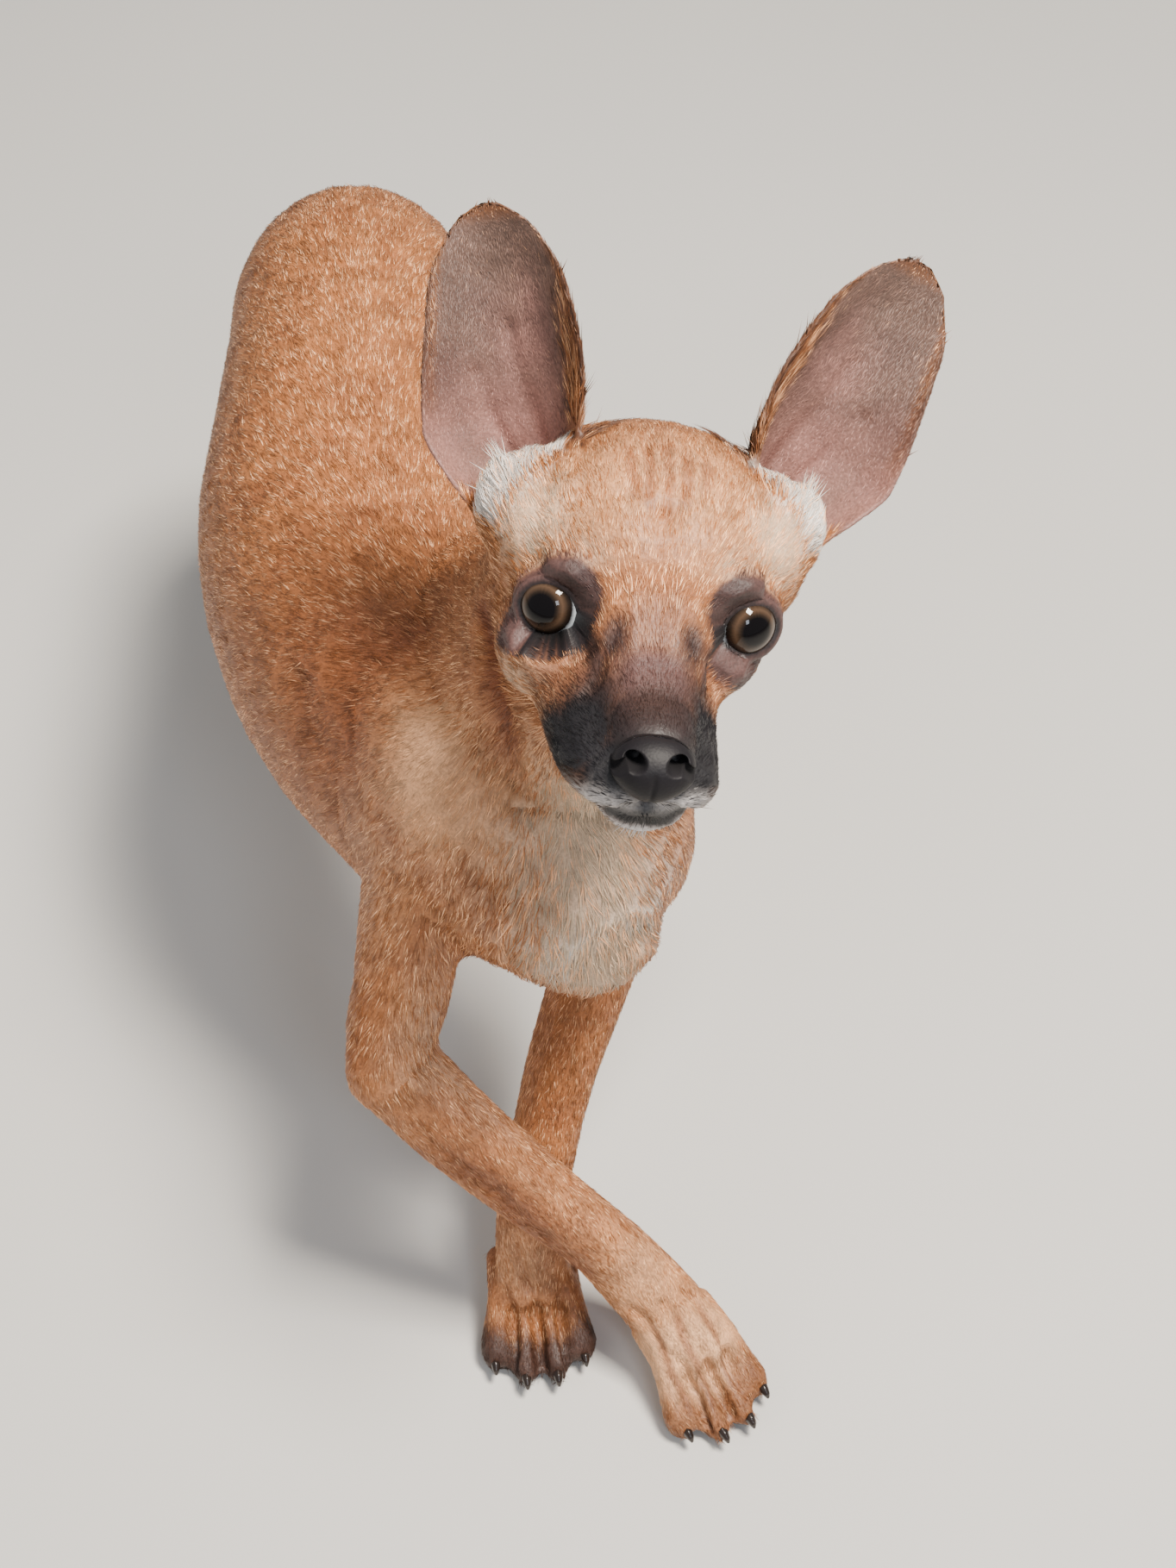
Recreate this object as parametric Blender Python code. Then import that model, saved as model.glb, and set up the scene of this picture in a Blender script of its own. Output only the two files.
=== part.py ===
"""A life-size still model of a short-coated chihuahua in mid step, with its right foreleg reaching across
the left one and its head turned up. The dog faces -Y, its left is +X, and its paws stand on Z = 0.

The body is lofted whole from rings, fused by a voxel remesh, sculpted, thinned out, and parted with thin
cuts. Lengths in the tables are millimetres, which MM turns into metres."""

import math
from itertools import pairwise

import bmesh
import bpy
import numpy as np
from mathutils import Matrix, Vector

MM = 0.001
GAP = 0.3 * MM  # kept between neighbouring pieces
VOXEL = 1.3 * MM
RING_SIDES = 28
SMOOTHING = 9
PATH_STEPS = 9
BODY_TRIANGLES = 7800

# Materials: colour as linear red, green and blue, then roughness
BACK_FINISH = ((0.46, 0.21, 0.09), 0.75)
LIMB_FINISH = ((0.52, 0.27, 0.12), 0.75)
PAW_FINISH = ((0.50, 0.32, 0.20), 0.75)
HEAD_FINISH = ((0.58, 0.36, 0.20), 0.75)
EAR_FINISH = ((0.26, 0.15, 0.12), 0.7)
EYE_FINISH = ((0.05, 0.025, 0.012), 0.08)
NOSE_FINISH = ((0.025, 0.02, 0.022), 0.35)
CLAW_FINISH = ((0.03, 0.022, 0.02), 0.35)

# Head: the frame's origin is midway between the eyes, X to the dog's left, Y to the back of the skull, Z up
HEAD_PLACE = Vector((4, -147, 268)) * MM
HEAD_TURN = math.radians(-9.5)
HEAD_LIFT = math.radians(-21)
HEAD_TILT = math.radians(8)
HEAD = (
    Matrix.Translation(HEAD_PLACE)
    @ Matrix.Rotation(HEAD_TURN, 4, "Z")
    @ Matrix.Rotation(HEAD_LIFT, 4, "X")
    @ Matrix.Rotation(HEAD_TILT, 4, "Y")
)
LEFT_SIDE = Vector((1, 0, 0))

# Each station of a loft: x, y, z, half width, half height above, half height below
BRIDGE = (
    (0, -43, -15.5, 6, 5.5, 5),
    (0, -37, -15, 9.5, 7.5, 9),
    (0, -25, -12, 11.5, 8, 13),
    (0, -13, -7, 13.5, 9, 16),
    (0, -3, 0, 16, 11, 18),
    (0, 10, 9, 20, 13, 20),
)
FLEWS = (
    (0, -43, -21.5, 8.5, 5.5, 5.5),
    (-0.5, -39, -21.5, 14.5, 8.5, 7.5),
    (-1.5, -31, -21, 18, 10.5, 9),
    (-2.8, -19, -19, 19.5, 12, 11),
    (-3.5, -5, -16, 21.5, 14, 13),
    (-2.5, 11, -12, 24.5, 18, 17),
    (-1, 26, -9, 25.5, 20, 20),
)
JAW = (
    (0, -38, -30, 7, 4.5, 4),
    (0, -31, -29.5, 10.5, 6, 6),
    (0, -14, -27, 14, 8, 8),
    (0, 10, -24, 19, 10, 10),
    (0, 34, -19, 21, 12, 12),
)
SKULL = (((0, 29, 7.5), (34, 37, 28.5)), ((0, 14, 11), (25, 22, 18)))
# The right cheek, nearer to the viewer's side, shows fuller than the left one
CHEEKS = (((-20, 12, -11), (14, 23, 14)), ((16.5, 14, -8), (12, 21, 12.5)))
# Temple, brow, upper lip, and the root of the ear: centre and half sizes of the one on the left
FACE = (
    ((27, 30, 9), (11, 22, 18)),
    ((16.5, 3, 9.5), (9.5, 8, 6)),
    ((9, -33, -22), (7.5, 8.5, 7)),
    ((34, 29, 14), (7, 9, 12)),
)
TRUNK = (
    (-4, -150, 158, 14, 14, 19),
    (-8, -138, 160, 29, 26, 28),
    (-13, -112, 161, 43, 51, 45),
    (-27, -78, 162, 46, 58, 56),
    (-43, -38, 163, 48, 56, 56),
    (-47, 6, 166, 48, 53, 52),
    (-42, 46, 172, 44, 49, 40),
    (-36, 82, 177, 41, 41, 31),
    (-31.5, 112, 176, 40, 38, 32),
    (-28.5, 136, 172, 33, 31, 33),
    (-26, 150, 167, 17, 18, 20),
)
NECK = (
    (6, -113, 262, 27, 27, 27),
    (1, -107, 240, 28, 30, 32),
    (-5, -100, 216, 32, 37, 39),
    (-12, -86, 194, 36, 43, 50),
    (-22, -62, 174, 34, 38, 40),
    (-29, -40, 164, 26, 28, 30),
)
TAIL = (
    (-26, 130, 192, 10, 10, 10),
    (-25, 148, 187, 8.5, 8.5, 8.5),
    (-23, 163, 170, 7, 7, 7),
    (-20, 172, 147, 6, 6, 6),
    (-16, 179, 122, 5.2, 5.2, 5.2),
    (-11, 190, 98, 4.4, 4.4, 4.4),
    (-7, 204, 82, 3, 3, 3),
)

# A leg's stations: x, y, z, half width, half depth to the back, half depth to the front
FORELEG_RIGHT = (
    (-40, -88, 172, 13, 32, 32),
    (-48, -104, 150, 15, 29, 28),
    (-55, -122, 128, 15, 20, 22),
    (-62, -137, 112, 13.5, 15, 16),
    (-52, -147, 96, 13, 12.5, 13.5),
    (-31, -158, 70, 12, 11, 12),
    (-11, -167, 47, 11, 10.5, 11),
    (-2, -173.5, 35.5, 11.5, 10, 10),
    (6, -182, 27, 12, 8.5, 8.5),
    (11, -190, 20.5, 11.5, 6.5, 6.5),
    (14, -196, 16, 9, 4.5, 4.5),
)
FORELEG_LEFT = (
    (10, -85, 170, 13, 34, 32),
    (13, -93, 146, 14, 28, 27),
    (10, -101, 124, 13.5, 19, 20),
    (5, -105, 108, 13, 14, 15),
    (-4, -113, 90, 12.5, 12, 12),
    (-17, -129, 62, 11, 10.5, 11),
    (-26, -146, 40, 11, 10.5, 10.5),
    (-28, -153, 30, 11.5, 9, 9),
    (-29, -160, 22, 11.5, 7, 7),
    (-29.5, -167, 17, 9.5, 5, 5),
)
HINDLEG_RIGHT = (
    (-48, 112, 178, 15, 36, 38),
    (-54, 102, 152, 17, 38, 36),
    (-57, 96, 126, 16, 29, 28),
    (-58, 92, 104, 13, 20, 18),
    (-56, 106, 84, 10.5, 13, 14),
    (-54, 128, 64, 8.5, 9, 10),
    (-53, 137, 50, 8.5, 9, 9),
    (-53, 131, 32, 9.5, 8.5, 8.5),
    (-53, 121, 21, 11.5, 7.5, 7.5),
    (-53.5, 111, 16, 10, 5.5, 5.5),
)
HINDLEG_LEFT = (
    (-8, 112, 178, 15, 36, 38),
    (-4, 112, 152, 17, 38, 36),
    (-2, 114, 126, 16, 29, 28),
    (-1, 114, 104, 13, 20, 18),
    (0, 131, 86, 10.5, 13, 14),
    (1, 156, 68, 8.5, 9, 10),
    (1, 165, 54, 8.5, 9, 9),
    (2, 160, 34, 9.5, 8.5, 8.5),
    (3, 150, 21, 11.5, 7.5, 7.5),
    (3.5, 140, 16, 10, 5.5, 5.5),
)

BREASTBONE = ((-8, -134, 149), (22, 19, 21))
JOINT_POINT = (6.5, 7, 8)
ELBOW_AND_HOCK_POINTS = ((-66, -131, 113), (9, -96, 112), (-53, 143, 57), (1, 171, 61))

# Paws: where the toes spring from, the way they point, and their spread
TOE_SPREAD = (-9.8, -3.5, 3.5, 9.8)
TOE_REACH = (19, 25, 25, 19)
TOE_FAN = (-7.5, -2.5, 2.5, 7.5)
TOE_RADIUS = 4.9
CLAW_LENGTH = 9.0
CLAW_RADIUS = 1.9
CLAW_HEIGHT = 1.2
CLAW_SIDES = 7
TOE_STEPS = (0, 0.34, 0.67, 1)
# Along a toe: share of its sideways lean and of its reach, step ahead, height above the floor, thickness
TOE_ARCH = (
    (0, 0, -8, 17, 0.95),
    (0, 0, 4, 17, 1),
    (0.5, 0.55, 0, 11, 1),
    (1, 0.86, 0, 6.8, 1.02),
    (1, 1, 0, 5.2, 0.8),
)
TOE_PAD = (4.2, 5.5, 3.6)
TOE_PAD_HEIGHT = 3.0
TOE_PAD_ALONG = 0.86
PALM = (((0, 0, 13), (12.5, 10, 8.5)), ((0, 2, 3.5), (10, 8, 5)))
CLAW_RISE = 6.5
PAWS = {
    "forepaw_right": ((11, -186, 20), (0.33, -0.94, 0.0)),
    "forepaw_left": ((-29, -158, 19), (-0.1, -1.0, 0.0)),
    "hindpaw_right": ((-53, 117, 17), (-0.03, -1.0, 0.0)),
    "hindpaw_left": ((3, 146, 17), (0.05, -1.0, 0.0)),
}
CLAW_CURVE = ((-0.35, -0.1, 1), (0, -0.06, 1), (0.35, 0.0, 0.8), (0.62, 0.14, 0.55), (0.8, 0.32, 0.2))

# Where the body is parted: a point, the way across the cut, and the reach of the cutting disc
CUTS = (
    ((-3, -100, 231), (0.15, -0.42, 0.9), 44),
    ((-12, -97, 212), (0.15, -0.55, 0.83), 74),
    ((-42, 50, 170), (0.12, 1, 0), 72),
    ((-23, 162, 171), (0.1, 0.62, -0.78), 11),
    ((-57, -125, 126), (-0.27, -0.6, -0.75), 26.5),
    ((7, -104, 120), (0.5, -0.1, -0.86), 33),
    ((-59, -141, 105), (0.5, -0.45, -0.74), 20),
    ((1, -109, 100), (-0.42, -0.36, -0.83), 19),
    ((-10, -168, 45), (0.55, -0.4, -0.73), 17),
    ((-26, -145, 42), (-0.38, -0.55, -0.75), 16),
    ((-62, 102, 150), (-0.8, 0, -0.6), 62),
    ((4, 112, 150), (0.8, 0, -0.6), 62),
    ((-57.5, 95, 99), (0.08, 0.57, -0.82), 38),
    ((-0.5, 118, 99), (0.04, 0.66, -0.75), 38),
    ((-53.6, 132, 57), (0.07, 0.54, -0.84), 15),
    ((1, 161, 60), (0, 0.54, -0.84), 15),
)
FLOOR_DEPTH = 20 * MM
FLOOR_REACH = 0.5
LANDMARKS = {
    "head": (8, -135, 265),
    "neck": (-8, -103, 220),
    "chest": (-30, -60, 160),
    "loin": (-35, 100, 172),
    "tail": (-15, 183, 120),
    "upper_arm_right": (-60, -132, 116),
    "forearm_right": (-34, -156, 75),
    "forepaw_right": (8, -187, 18),
    "upper_arm_left": (8, -105, 114),
    "forearm_left": (-13, -125, 70),
    "forepaw_left": (-29, -160, 18),
    "thigh_right": (-58, 98, 118),
    "lower_leg_right": (-55, 112, 80),
    "hindpaw_right": (-53, 118, 20),
    "thigh_left": (-2, 113, 122),
    "lower_leg_left": (0, 138, 82),
    "hindpaw_left": (2, 146, 20),
}
# Creases of the head: route of the one on the left, then width and depth
CREASES = (
    (((0, -43, -27), (5, -41.5, -27.5), (10, -36, -28), (15, -27, -27.5), (20, -4, -23)), 2.6, 1.6),
    (((0, -46, -22), (0, -43, -27)), 2.2, 1.2),
    (((11, -10, -4), (16, -7, -9)), 6, 1.6),
    (((0.5, -14, 0), (0.5, -6, 12), (0.5, 2, 24)), 6, 0.8),
)
EYE_RADIUS = 8.8
EYE_CENTRE = Vector((20.5, 6.5, 0))
EYE_OUTWARD = math.radians(20)
LID_THICKNESS = 1.9
EYE_LIFT = 0.08  # upward share of the gaze
EYE_SEGMENTS = 22
EYE_RINGS = 13
# The lids' opening is a funnel: half width and height, its narrow and wide ends, its depth and its place
EYE_OPENING = (8.8, 8.1)
OPENING_FLARE = (0.62, 1.3)
OPENING_DEPTH = 1.3
OPENING_PLACE = 1.05
NOSE_CENTRE = (0, -42, -15)
NOSE_HALF = (9.4, 7.2, 8)
NOSTRIL = (((4.2, -48.6, -15), (2.2, 3.4, 2.1)), ((6.9, -47, -15.2), (2.7, 2.6, 0.9)))

EAR_SLANT = 8.0
EAR_HALF_WIDTH = 19.3
EAR_WALL = 1.5
EAR_ROWS = 14
# Root, a point towards the tip, how far the cup is turned out, and the length
EARS = {
    "ear_right": ((-31, 31, 14), (-44, 40, 77), math.radians(14), 68),
    "ear_left": ((32, 31, 16), (54, 42, 74), math.radians(10), 66.5),
}
EAR_COLUMNS = 10
# Share of the ear's length, half width as a share of the widest, curl of the cup in degrees, sideways bow
EAR_OUTLINE = (
    (0.00, 0.66, 100, 0.00),
    (0.12, 0.86, 88, 0.05),
    (0.28, 1.00, 72, 0.06),
    (0.42, 1.00, 62, 0.03),
    (0.60, 0.91, 52, 0.00),
    (0.77, 0.79, 44, 0.00),
    (0.90, 0.60, 36, 0.00),
    (0.97, 0.37, 30, 0.00),
    (1.00, 0.12, 25, 0.00),
)


def clear_scene():
    for old in list(bpy.data.objects):
        bpy.data.objects.remove(old)


def finish(name, look):
    """A material in the piece's own name."""
    (red, green, blue), roughness = look
    material = bpy.data.materials.new(name)
    material.use_nodes = True
    shader = material.node_tree.nodes["Principled BSDF"]
    shader.inputs["Base Color"].default_value = (red, green, blue, 1)
    shader.inputs["Roughness"].default_value = roughness
    shader.inputs["Metallic"].default_value = 0
    return material


def add_object(name, mesh, material=None):
    placed = bpy.data.objects.new(name, mesh)
    bpy.context.scene.collection.objects.link(placed)
    if material:
        mesh.materials.clear()
        mesh.materials.append(material)
    return placed


def to_mesh(name, bm):
    mesh = bpy.data.meshes.new(name)
    bm.to_mesh(mesh)
    bm.free()
    return mesh


def evaluated_copy(placed, name):
    """The object's mesh as its modifiers leave it."""
    bpy.context.view_layer.update()
    graph = bpy.context.evaluated_depsgraph_get()
    mesh = bpy.data.meshes.new_from_object(placed.evaluated_get(graph))
    mesh.name = name
    return mesh


def apply_modifiers(placed):
    mesh = evaluated_copy(placed, placed.name)
    placed.modifiers.clear()
    placed.data = mesh


def smoothed(stations, steps):
    """Rows on a smooth curve through the stations, in every column alike."""
    knots = np.array(stations, float)
    knots = np.vstack([2 * knots[0] - knots[1], knots, 2 * knots[-1] - knots[-2]])
    rows = []
    for before, start, end, after in zip(knots, knots[1:], knots[2:], knots[3:]):
        for t in np.arange(steps) / steps:
            rows.append(
                start
                + (end - before) * t / 2
                + (2 * before - 5 * start + 4 * end - after) * t**2 / 2
                + (3 * start - before - 3 * end + after) * t**3 / 2
            )
    return np.array([*rows, knots[-2]])


def loft(bm, stations, matrix=None, steps=4, sides=RING_SIDES):
    """A closed tube of egg-shaped rings through the stations."""
    matrix = matrix or Matrix()
    rows = smoothed(stations, steps)
    runs = np.gradient(rows[:, :3], axis=0)
    rings = []
    for (x, y, z, half_width, above, below), run in zip(rows, runs):
        over = LEFT_SIDE.cross(Vector(run)).normalized()
        across = Vector(run).normalized().cross(over)
        ring = bmesh.ops.create_circle(bm, radius=1, segments=sides)["verts"]
        for vertex in ring:
            up = vertex.co.y * (above if vertex.co.y > 0 else below)
            place = Vector((x, y, z)) + across * (vertex.co.x * half_width) + over * up
            vertex.co = matrix @ (place * MM)
        rings.append(ring)
    for first, second in pairwise(rings):
        loops = {e for v in first + second for e in v.link_edges if len(e.link_faces) < 2}
        near = set(first) | set(second)
        bmesh.ops.bridge_loops(bm, edges=[e for e in loops if set(e.verts) <= near])
    for ring in (rings[0], rings[-1]):
        bm.faces.new(ring)


def mass(bm, centre, radii, matrix=None, rounds=3):
    """An egg of muscle or bone, as centre and half sizes in millimetres."""
    place = (matrix or Matrix()) @ Matrix.Translation(Vector(centre) * MM)
    bmesh.ops.create_icosphere(
        bm, subdivisions=rounds, radius=1, matrix=place @ Matrix.Diagonal((*(Vector(radii) * MM), 1))
    )


def mirrored(point, side):
    return Vector((point[0] * side, point[1], point[2]))


def add_head(bm):
    for stations in (BRIDGE, FLEWS, JAW):
        loft(bm, stations, HEAD)
    for centre, radii in (*SKULL, *CHEEKS):
        mass(bm, centre, radii, HEAD)
    lid = EYE_RADIUS + LID_THICKNESS
    for side in (-1, 1):
        for centre, radii in FACE:
            mass(bm, mirrored(centre, side), radii, HEAD)
        mass(bm, mirrored(EYE_CENTRE, side), (lid, lid, lid), HEAD)


def paw_frame(paw):
    """The paw's own frame: X to its left as it points, Y ahead and Z up, from where its toes spring."""
    spring, ahead = PAWS[paw]
    ahead = Vector(ahead).normalized()
    side = ahead.cross(Vector((0, 0, 1)))
    turn = Matrix((side, ahead, Vector((0, 0, 1)))).transposed().to_4x4()
    return Matrix.Translation(Vector(spring) * MM) @ turn


def toes(paw):
    """Sideways start, sideways end and reach of each toe, in the paw's frame."""
    for start, fan, reach in zip(TOE_SPREAD, TOE_FAN, TOE_REACH):
        yield start, start + fan * 0.45, reach


def add_paw(bm, paw):
    frame = paw_frame(paw)
    drop = PAWS[paw][0][2]
    for centre, radii in PALM:
        mass(bm, (*centre[:2], centre[2] - drop), radii, frame)
    for start, end, reach in toes(paw):
        arch = [
            (Vector((start + (end - start) * out, reach * along + back, high - drop)), TOE_RADIUS * size)
            for out, along, back, high, size in TOE_ARCH
        ]
        for (near, near_radius), (far, far_radius) in pairwise(arch):
            for share in TOE_STEPS:
                radius = near_radius + (far_radius - near_radius) * share
                mass(bm, near.lerp(far, share), (radius, radius, radius), frame, 2)
        mass(bm, (end, reach * TOE_PAD_ALONG, TOE_PAD_HEIGHT - drop), TOE_PAD, frame, 2)


def whole_body():
    """Every fleshy form of the dog in one mesh, before they are fused."""
    bm = bmesh.new()
    add_head(bm)
    for stations in (TRUNK, NECK, TAIL):
        loft(bm, stations)
    for stations in (FORELEG_RIGHT, FORELEG_LEFT, HINDLEG_RIGHT, HINDLEG_LEFT):
        loft(bm, stations)
    for paw in PAWS:
        add_paw(bm, paw)
    mass(bm, *BREASTBONE)
    for centre in ELBOW_AND_HOCK_POINTS:
        mass(bm, centre, JOINT_POINT)
    bmesh.ops.recalc_face_normals(bm, faces=bm.faces)
    return to_mesh("whole_body", bm)


def falloff(distance, radius):
    near = np.clip(1 - distance / radius, 0, 1)
    return (near * near * (3 - 2 * near))[:, None]


def points_of(mesh):
    points = np.empty(len(mesh.vertices) * 3)
    mesh.vertices.foreach_get("co", points)
    return points.reshape(-1, 3)


def normals_of(mesh):
    normals = np.empty(len(mesh.vertices) * 3, np.float32)
    mesh.vertex_normals.foreach_get("vector", normals)
    return normals.reshape(-1, 3).astype(float)


def fuse(mesh):
    """One skin round all the overlapping forms, eased where they meet."""
    body = add_object("body", mesh)
    remesh = body.modifiers.new("Fuse", "REMESH")
    remesh.mode = "VOXEL"
    remesh.voxel_size = VOXEL
    ease = body.modifiers.new("Ease", "SMOOTH")
    ease.factor = 0.5
    ease.iterations = SMOOTHING
    apply_modifiers(body)
    return body


def creased(points, normals, path, width, depth):
    """Presses a groove into the skin along a path, in metres."""
    shares = np.linspace(0, 1, PATH_STEPS)
    steps = [Vector(a).lerp(Vector(b), share) for a, b in pairwise(path) for share in shares]
    near = np.min([np.linalg.norm(points - np.array(step), axis=1) for step in steps], axis=0)
    return points - normals * falloff(near, width) * depth


def sculpt_head(body):
    """The line of the mouth, the hollow before each eye and the furrow of the brow."""
    points, normals = points_of(body.data), normals_of(body.data)
    for route, width, depth in CREASES:
        for side in (-1, 1):
            path = [HEAD @ (mirrored(point, side) * MM) for point in route]
            points = creased(points, normals, path, width * MM, depth * MM)
    body.data.vertices.foreach_set("co", points.ravel())
    body.data.update()


def thin_out(body, triangles):
    even = body.modifiers.new("Triangles", "TRIANGULATE")
    even.min_vertices = 4
    apply_modifiers(body)
    thin = body.modifiers.new("Thin", "DECIMATE")
    thin.ratio = triangles / len(body.data.polygons)
    apply_modifiers(body)


def frame_along(centre, direction):
    """A frame at the centre whose Z runs along the direction."""
    return Matrix.Translation(centre) @ Vector(direction).to_track_quat("Z", "Y").to_matrix().to_4x4()


def disc(name, centre, direction, radius, thickness=GAP, sides=24):
    bm = bmesh.new()
    bmesh.ops.create_cone(
        bm,
        cap_ends=True,
        segments=sides,
        radius1=radius,
        radius2=radius,
        depth=thickness,
        matrix=frame_along(centre, direction),
    )
    return add_object(name, to_mesh(name, bm))


def carve(target, others):
    """Cuts the other closed pieces out of the target, and removes them."""
    group = bpy.data.collections.new("operands")
    for other in others:
        group.objects.link(other)
    step = target.modifiers.new("Carve", "BOOLEAN")
    step.operation = "DIFFERENCE"
    step.solver = "EXACT"
    step.operand_type = "COLLECTION"
    step.collection = group
    apply_modifiers(target)
    for other in others:
        bpy.data.objects.remove(other)
    bpy.data.collections.remove(group)


def islands(mesh):
    """The separate closed surfaces of a mesh, as lists of face numbers, largest first."""
    bm = bmesh.new()
    bm.from_mesh(mesh)
    bm.faces.ensure_lookup_table()
    unseen, found = set(bm.faces), []
    while unseen:
        stack, island = [unseen.pop()], []
        while stack:
            face = stack.pop()
            island.append(face.index)
            for edge in face.edges:
                for other in edge.link_faces:
                    if other in unseen:
                        unseen.discard(other)
                        stack.append(other)
        found.append(island)
    bm.free()
    return sorted(found, key=len, reverse=True)


def only_faces(mesh, kept, name):
    bm = bmesh.new()
    bm.from_mesh(mesh)
    bm.faces.ensure_lookup_table()
    kept = set(kept)
    drop = [face for face in bm.faces if face.index not in kept]
    bmesh.ops.delete(bm, geom=drop, context="FACES")
    return to_mesh(name, bm)


def keep_largest(placed):
    placed.data = only_faces(placed.data, islands(placed.data)[0], placed.name)


def coat_of(name):
    if name in PAWS:
        return PAW_FINISH
    if name == "head":
        return HEAD_FINISH
    return BACK_FINISH if name in ("neck", "chest", "loin", "tail") else LIMB_FINISH


def part_body(body):
    """Parts the whole body with thin discs, and names each piece for the landmark that it lies nearest to."""
    cutters = [
        disc(f"cut_{n}", Vector(centre) * MM, direction, radius * MM)
        for n, (centre, direction, radius) in enumerate(CUTS)
    ]
    floor = disc("floor", (0, 0, -FLOOR_DEPTH / 2), (0, 0, 1), FLOOR_REACH, FLOOR_DEPTH)
    carve(body, [*cutters, floor])
    pieces = {}
    for island in islands(body.data)[: len(LANDMARKS)]:
        mesh = only_faces(body.data, island, "piece")
        middle = Vector(points_of(mesh).mean(axis=0))
        name = min(LANDMARKS, key=lambda mark: (Vector(LANDMARKS[mark]) * MM - middle).length)
        if name in pieces:
            raise ValueError(f"two pieces lie nearest to the landmark {name}")
        mesh.name = name
        pieces[name] = add_object(name, mesh, finish(name, coat_of(name)))
    bpy.data.objects.remove(body)
    return pieces


def grown(placed, by):
    """A copy of a piece with its skin moved out, to cut what rests against it."""
    swollen = add_object(f"{placed.name}_grown", placed.data.copy())
    swell = swollen.modifiers.new("Swell", "DISPLACE")
    swell.strength = by
    swell.mid_level = 0
    apply_modifiers(swollen)
    return swollen


def gaze(side):
    """The eye's own frame: its centre, and Z out through the pupil."""
    out = Vector((side * math.sin(EYE_OUTWARD), -math.cos(EYE_OUTWARD), EYE_LIFT))
    return HEAD @ frame_along(mirrored(EYE_CENTRE, side) * MM, out)


def ball(name, radius, frame, look=None):
    bm = bmesh.new()
    bmesh.ops.create_uvsphere(
        bm, u_segments=EYE_SEGMENTS, v_segments=EYE_RINGS, radius=radius, matrix=frame
    )
    return add_object(name, to_mesh(name, bm), look)


def add_eye(name, side, head):
    """An eyeball in a socket that the lids close over, all but a round opening."""
    radius = EYE_RADIUS * MM
    frame = gaze(side)
    eye = ball(name, radius, frame, finish(name, EYE_FINISH))
    eye.data.shade_smooth()
    carve(head, [ball("socket", radius + GAP, frame)])
    half_width, half_height = EYE_OPENING
    size = Matrix.Diagonal((half_width * MM, half_height * MM, radius * OPENING_DEPTH, 1))
    bm = bmesh.new()
    bmesh.ops.create_cone(
        bm,
        cap_ends=True,
        segments=EYE_SEGMENTS,
        radius1=OPENING_FLARE[0],
        radius2=OPENING_FLARE[1],
        depth=1,
        matrix=frame @ Matrix.Translation((0, 0, radius * OPENING_PLACE)) @ size,
    )
    carve(head, [add_object("opening", to_mesh("opening", bm))])


def ear_shape(share):
    """Half width, curl and bow of the ear at a share of its length."""
    shares, widths, curls, bows = zip(*EAR_OUTLINE)
    width = np.interp(share, shares, widths) * EAR_HALF_WIDTH
    curl = math.radians(np.interp(share, shares, curls))
    return width, curl, np.interp(share, shares, bows) * EAR_HALF_WIDTH


def add_ear(name, side, head):
    """A cupped blade of skin on a base that slants down the side of the skull."""
    base, tip, turn, length = EARS[name]
    up = (Vector(tip) - Vector(base)).normalized()
    ahead = Vector((side * math.sin(turn), -math.cos(turn), 0))
    ahead = (ahead - up * ahead.dot(up)).normalized()
    out = ahead.cross(up) * -side
    bm = bmesh.new()
    bmesh.ops.create_grid(bm, x_segments=EAR_COLUMNS, y_segments=EAR_ROWS, size=1)
    for vertex in bm.verts:
        across, share = vertex.co.x, (vertex.co.y + 1) / 2
        width, curl, bow = ear_shape(share)
        bend = width / math.sin(curl)
        place = Vector(base) + up * (share * length - EAR_SLANT * across * (1 - share) ** 2)
        place += out * (bend * math.sin(across * curl) + bow)
        place -= ahead * bend * (math.cos(across * curl) - math.cos(curl))
        vertex.co = HEAD @ (place * MM)
    ear = add_object(name, to_mesh(name, bm), finish(name, EAR_FINISH))
    wall = ear.modifiers.new("Wall", "SOLIDIFY")
    wall.thickness = EAR_WALL * MM
    wall.offset = 0
    apply_modifiers(ear)
    bm = bmesh.new()
    bm.from_mesh(ear.data)
    bmesh.ops.recalc_face_normals(bm, faces=bm.faces)
    bm.to_mesh(ear.data)
    bm.free()
    carve(ear, [grown(head, GAP)])
    keep_largest(ear)


def add_nose(head):
    """The leather of the nose, with a nostril and its slit on each side."""
    bm = bmesh.new()
    mass(bm, NOSE_CENTRE, NOSE_HALF, HEAD)
    nose = add_object("nose", to_mesh("nose", bm), finish("nose", NOSE_FINISH))
    for side in (-1, 1):
        for centre, radii in NOSTRIL:
            bm = bmesh.new()
            mass(bm, mirrored(centre, side), radii, HEAD, 2)
            carve(nose, [add_object("nostril", to_mesh("nostril", bm))])
    carve(nose, [grown(head, GAP)])
    keep_largest(nose)


def add_claws(paw, piece):
    """Blunt curved claws, each rooted in the tip of its toe."""
    frame = paw_frame(paw)
    rise = CLAW_RISE - PAWS[paw][0][2]
    for number, (_, end, reach) in enumerate(toes(paw), 1):
        name = f"claw_{paw}_{number}"
        stations = []
        for run, fall, size in CLAW_CURVE:
            width = CLAW_RADIUS * size
            height = width * CLAW_HEIGHT
            place = (end, reach + CLAW_LENGTH * run, rise - CLAW_LENGTH * fall)
            stations.append((*place, width, height, height))
        bm = bmesh.new()
        loft(bm, stations, frame, steps=1, sides=CLAW_SIDES)
        bmesh.ops.recalc_face_normals(bm, faces=bm.faces)
        claw = add_object(name, to_mesh(name, bm), finish(name, CLAW_FINISH))
        carve(claw, [grown(piece, GAP)])
        keep_largest(claw)


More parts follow.
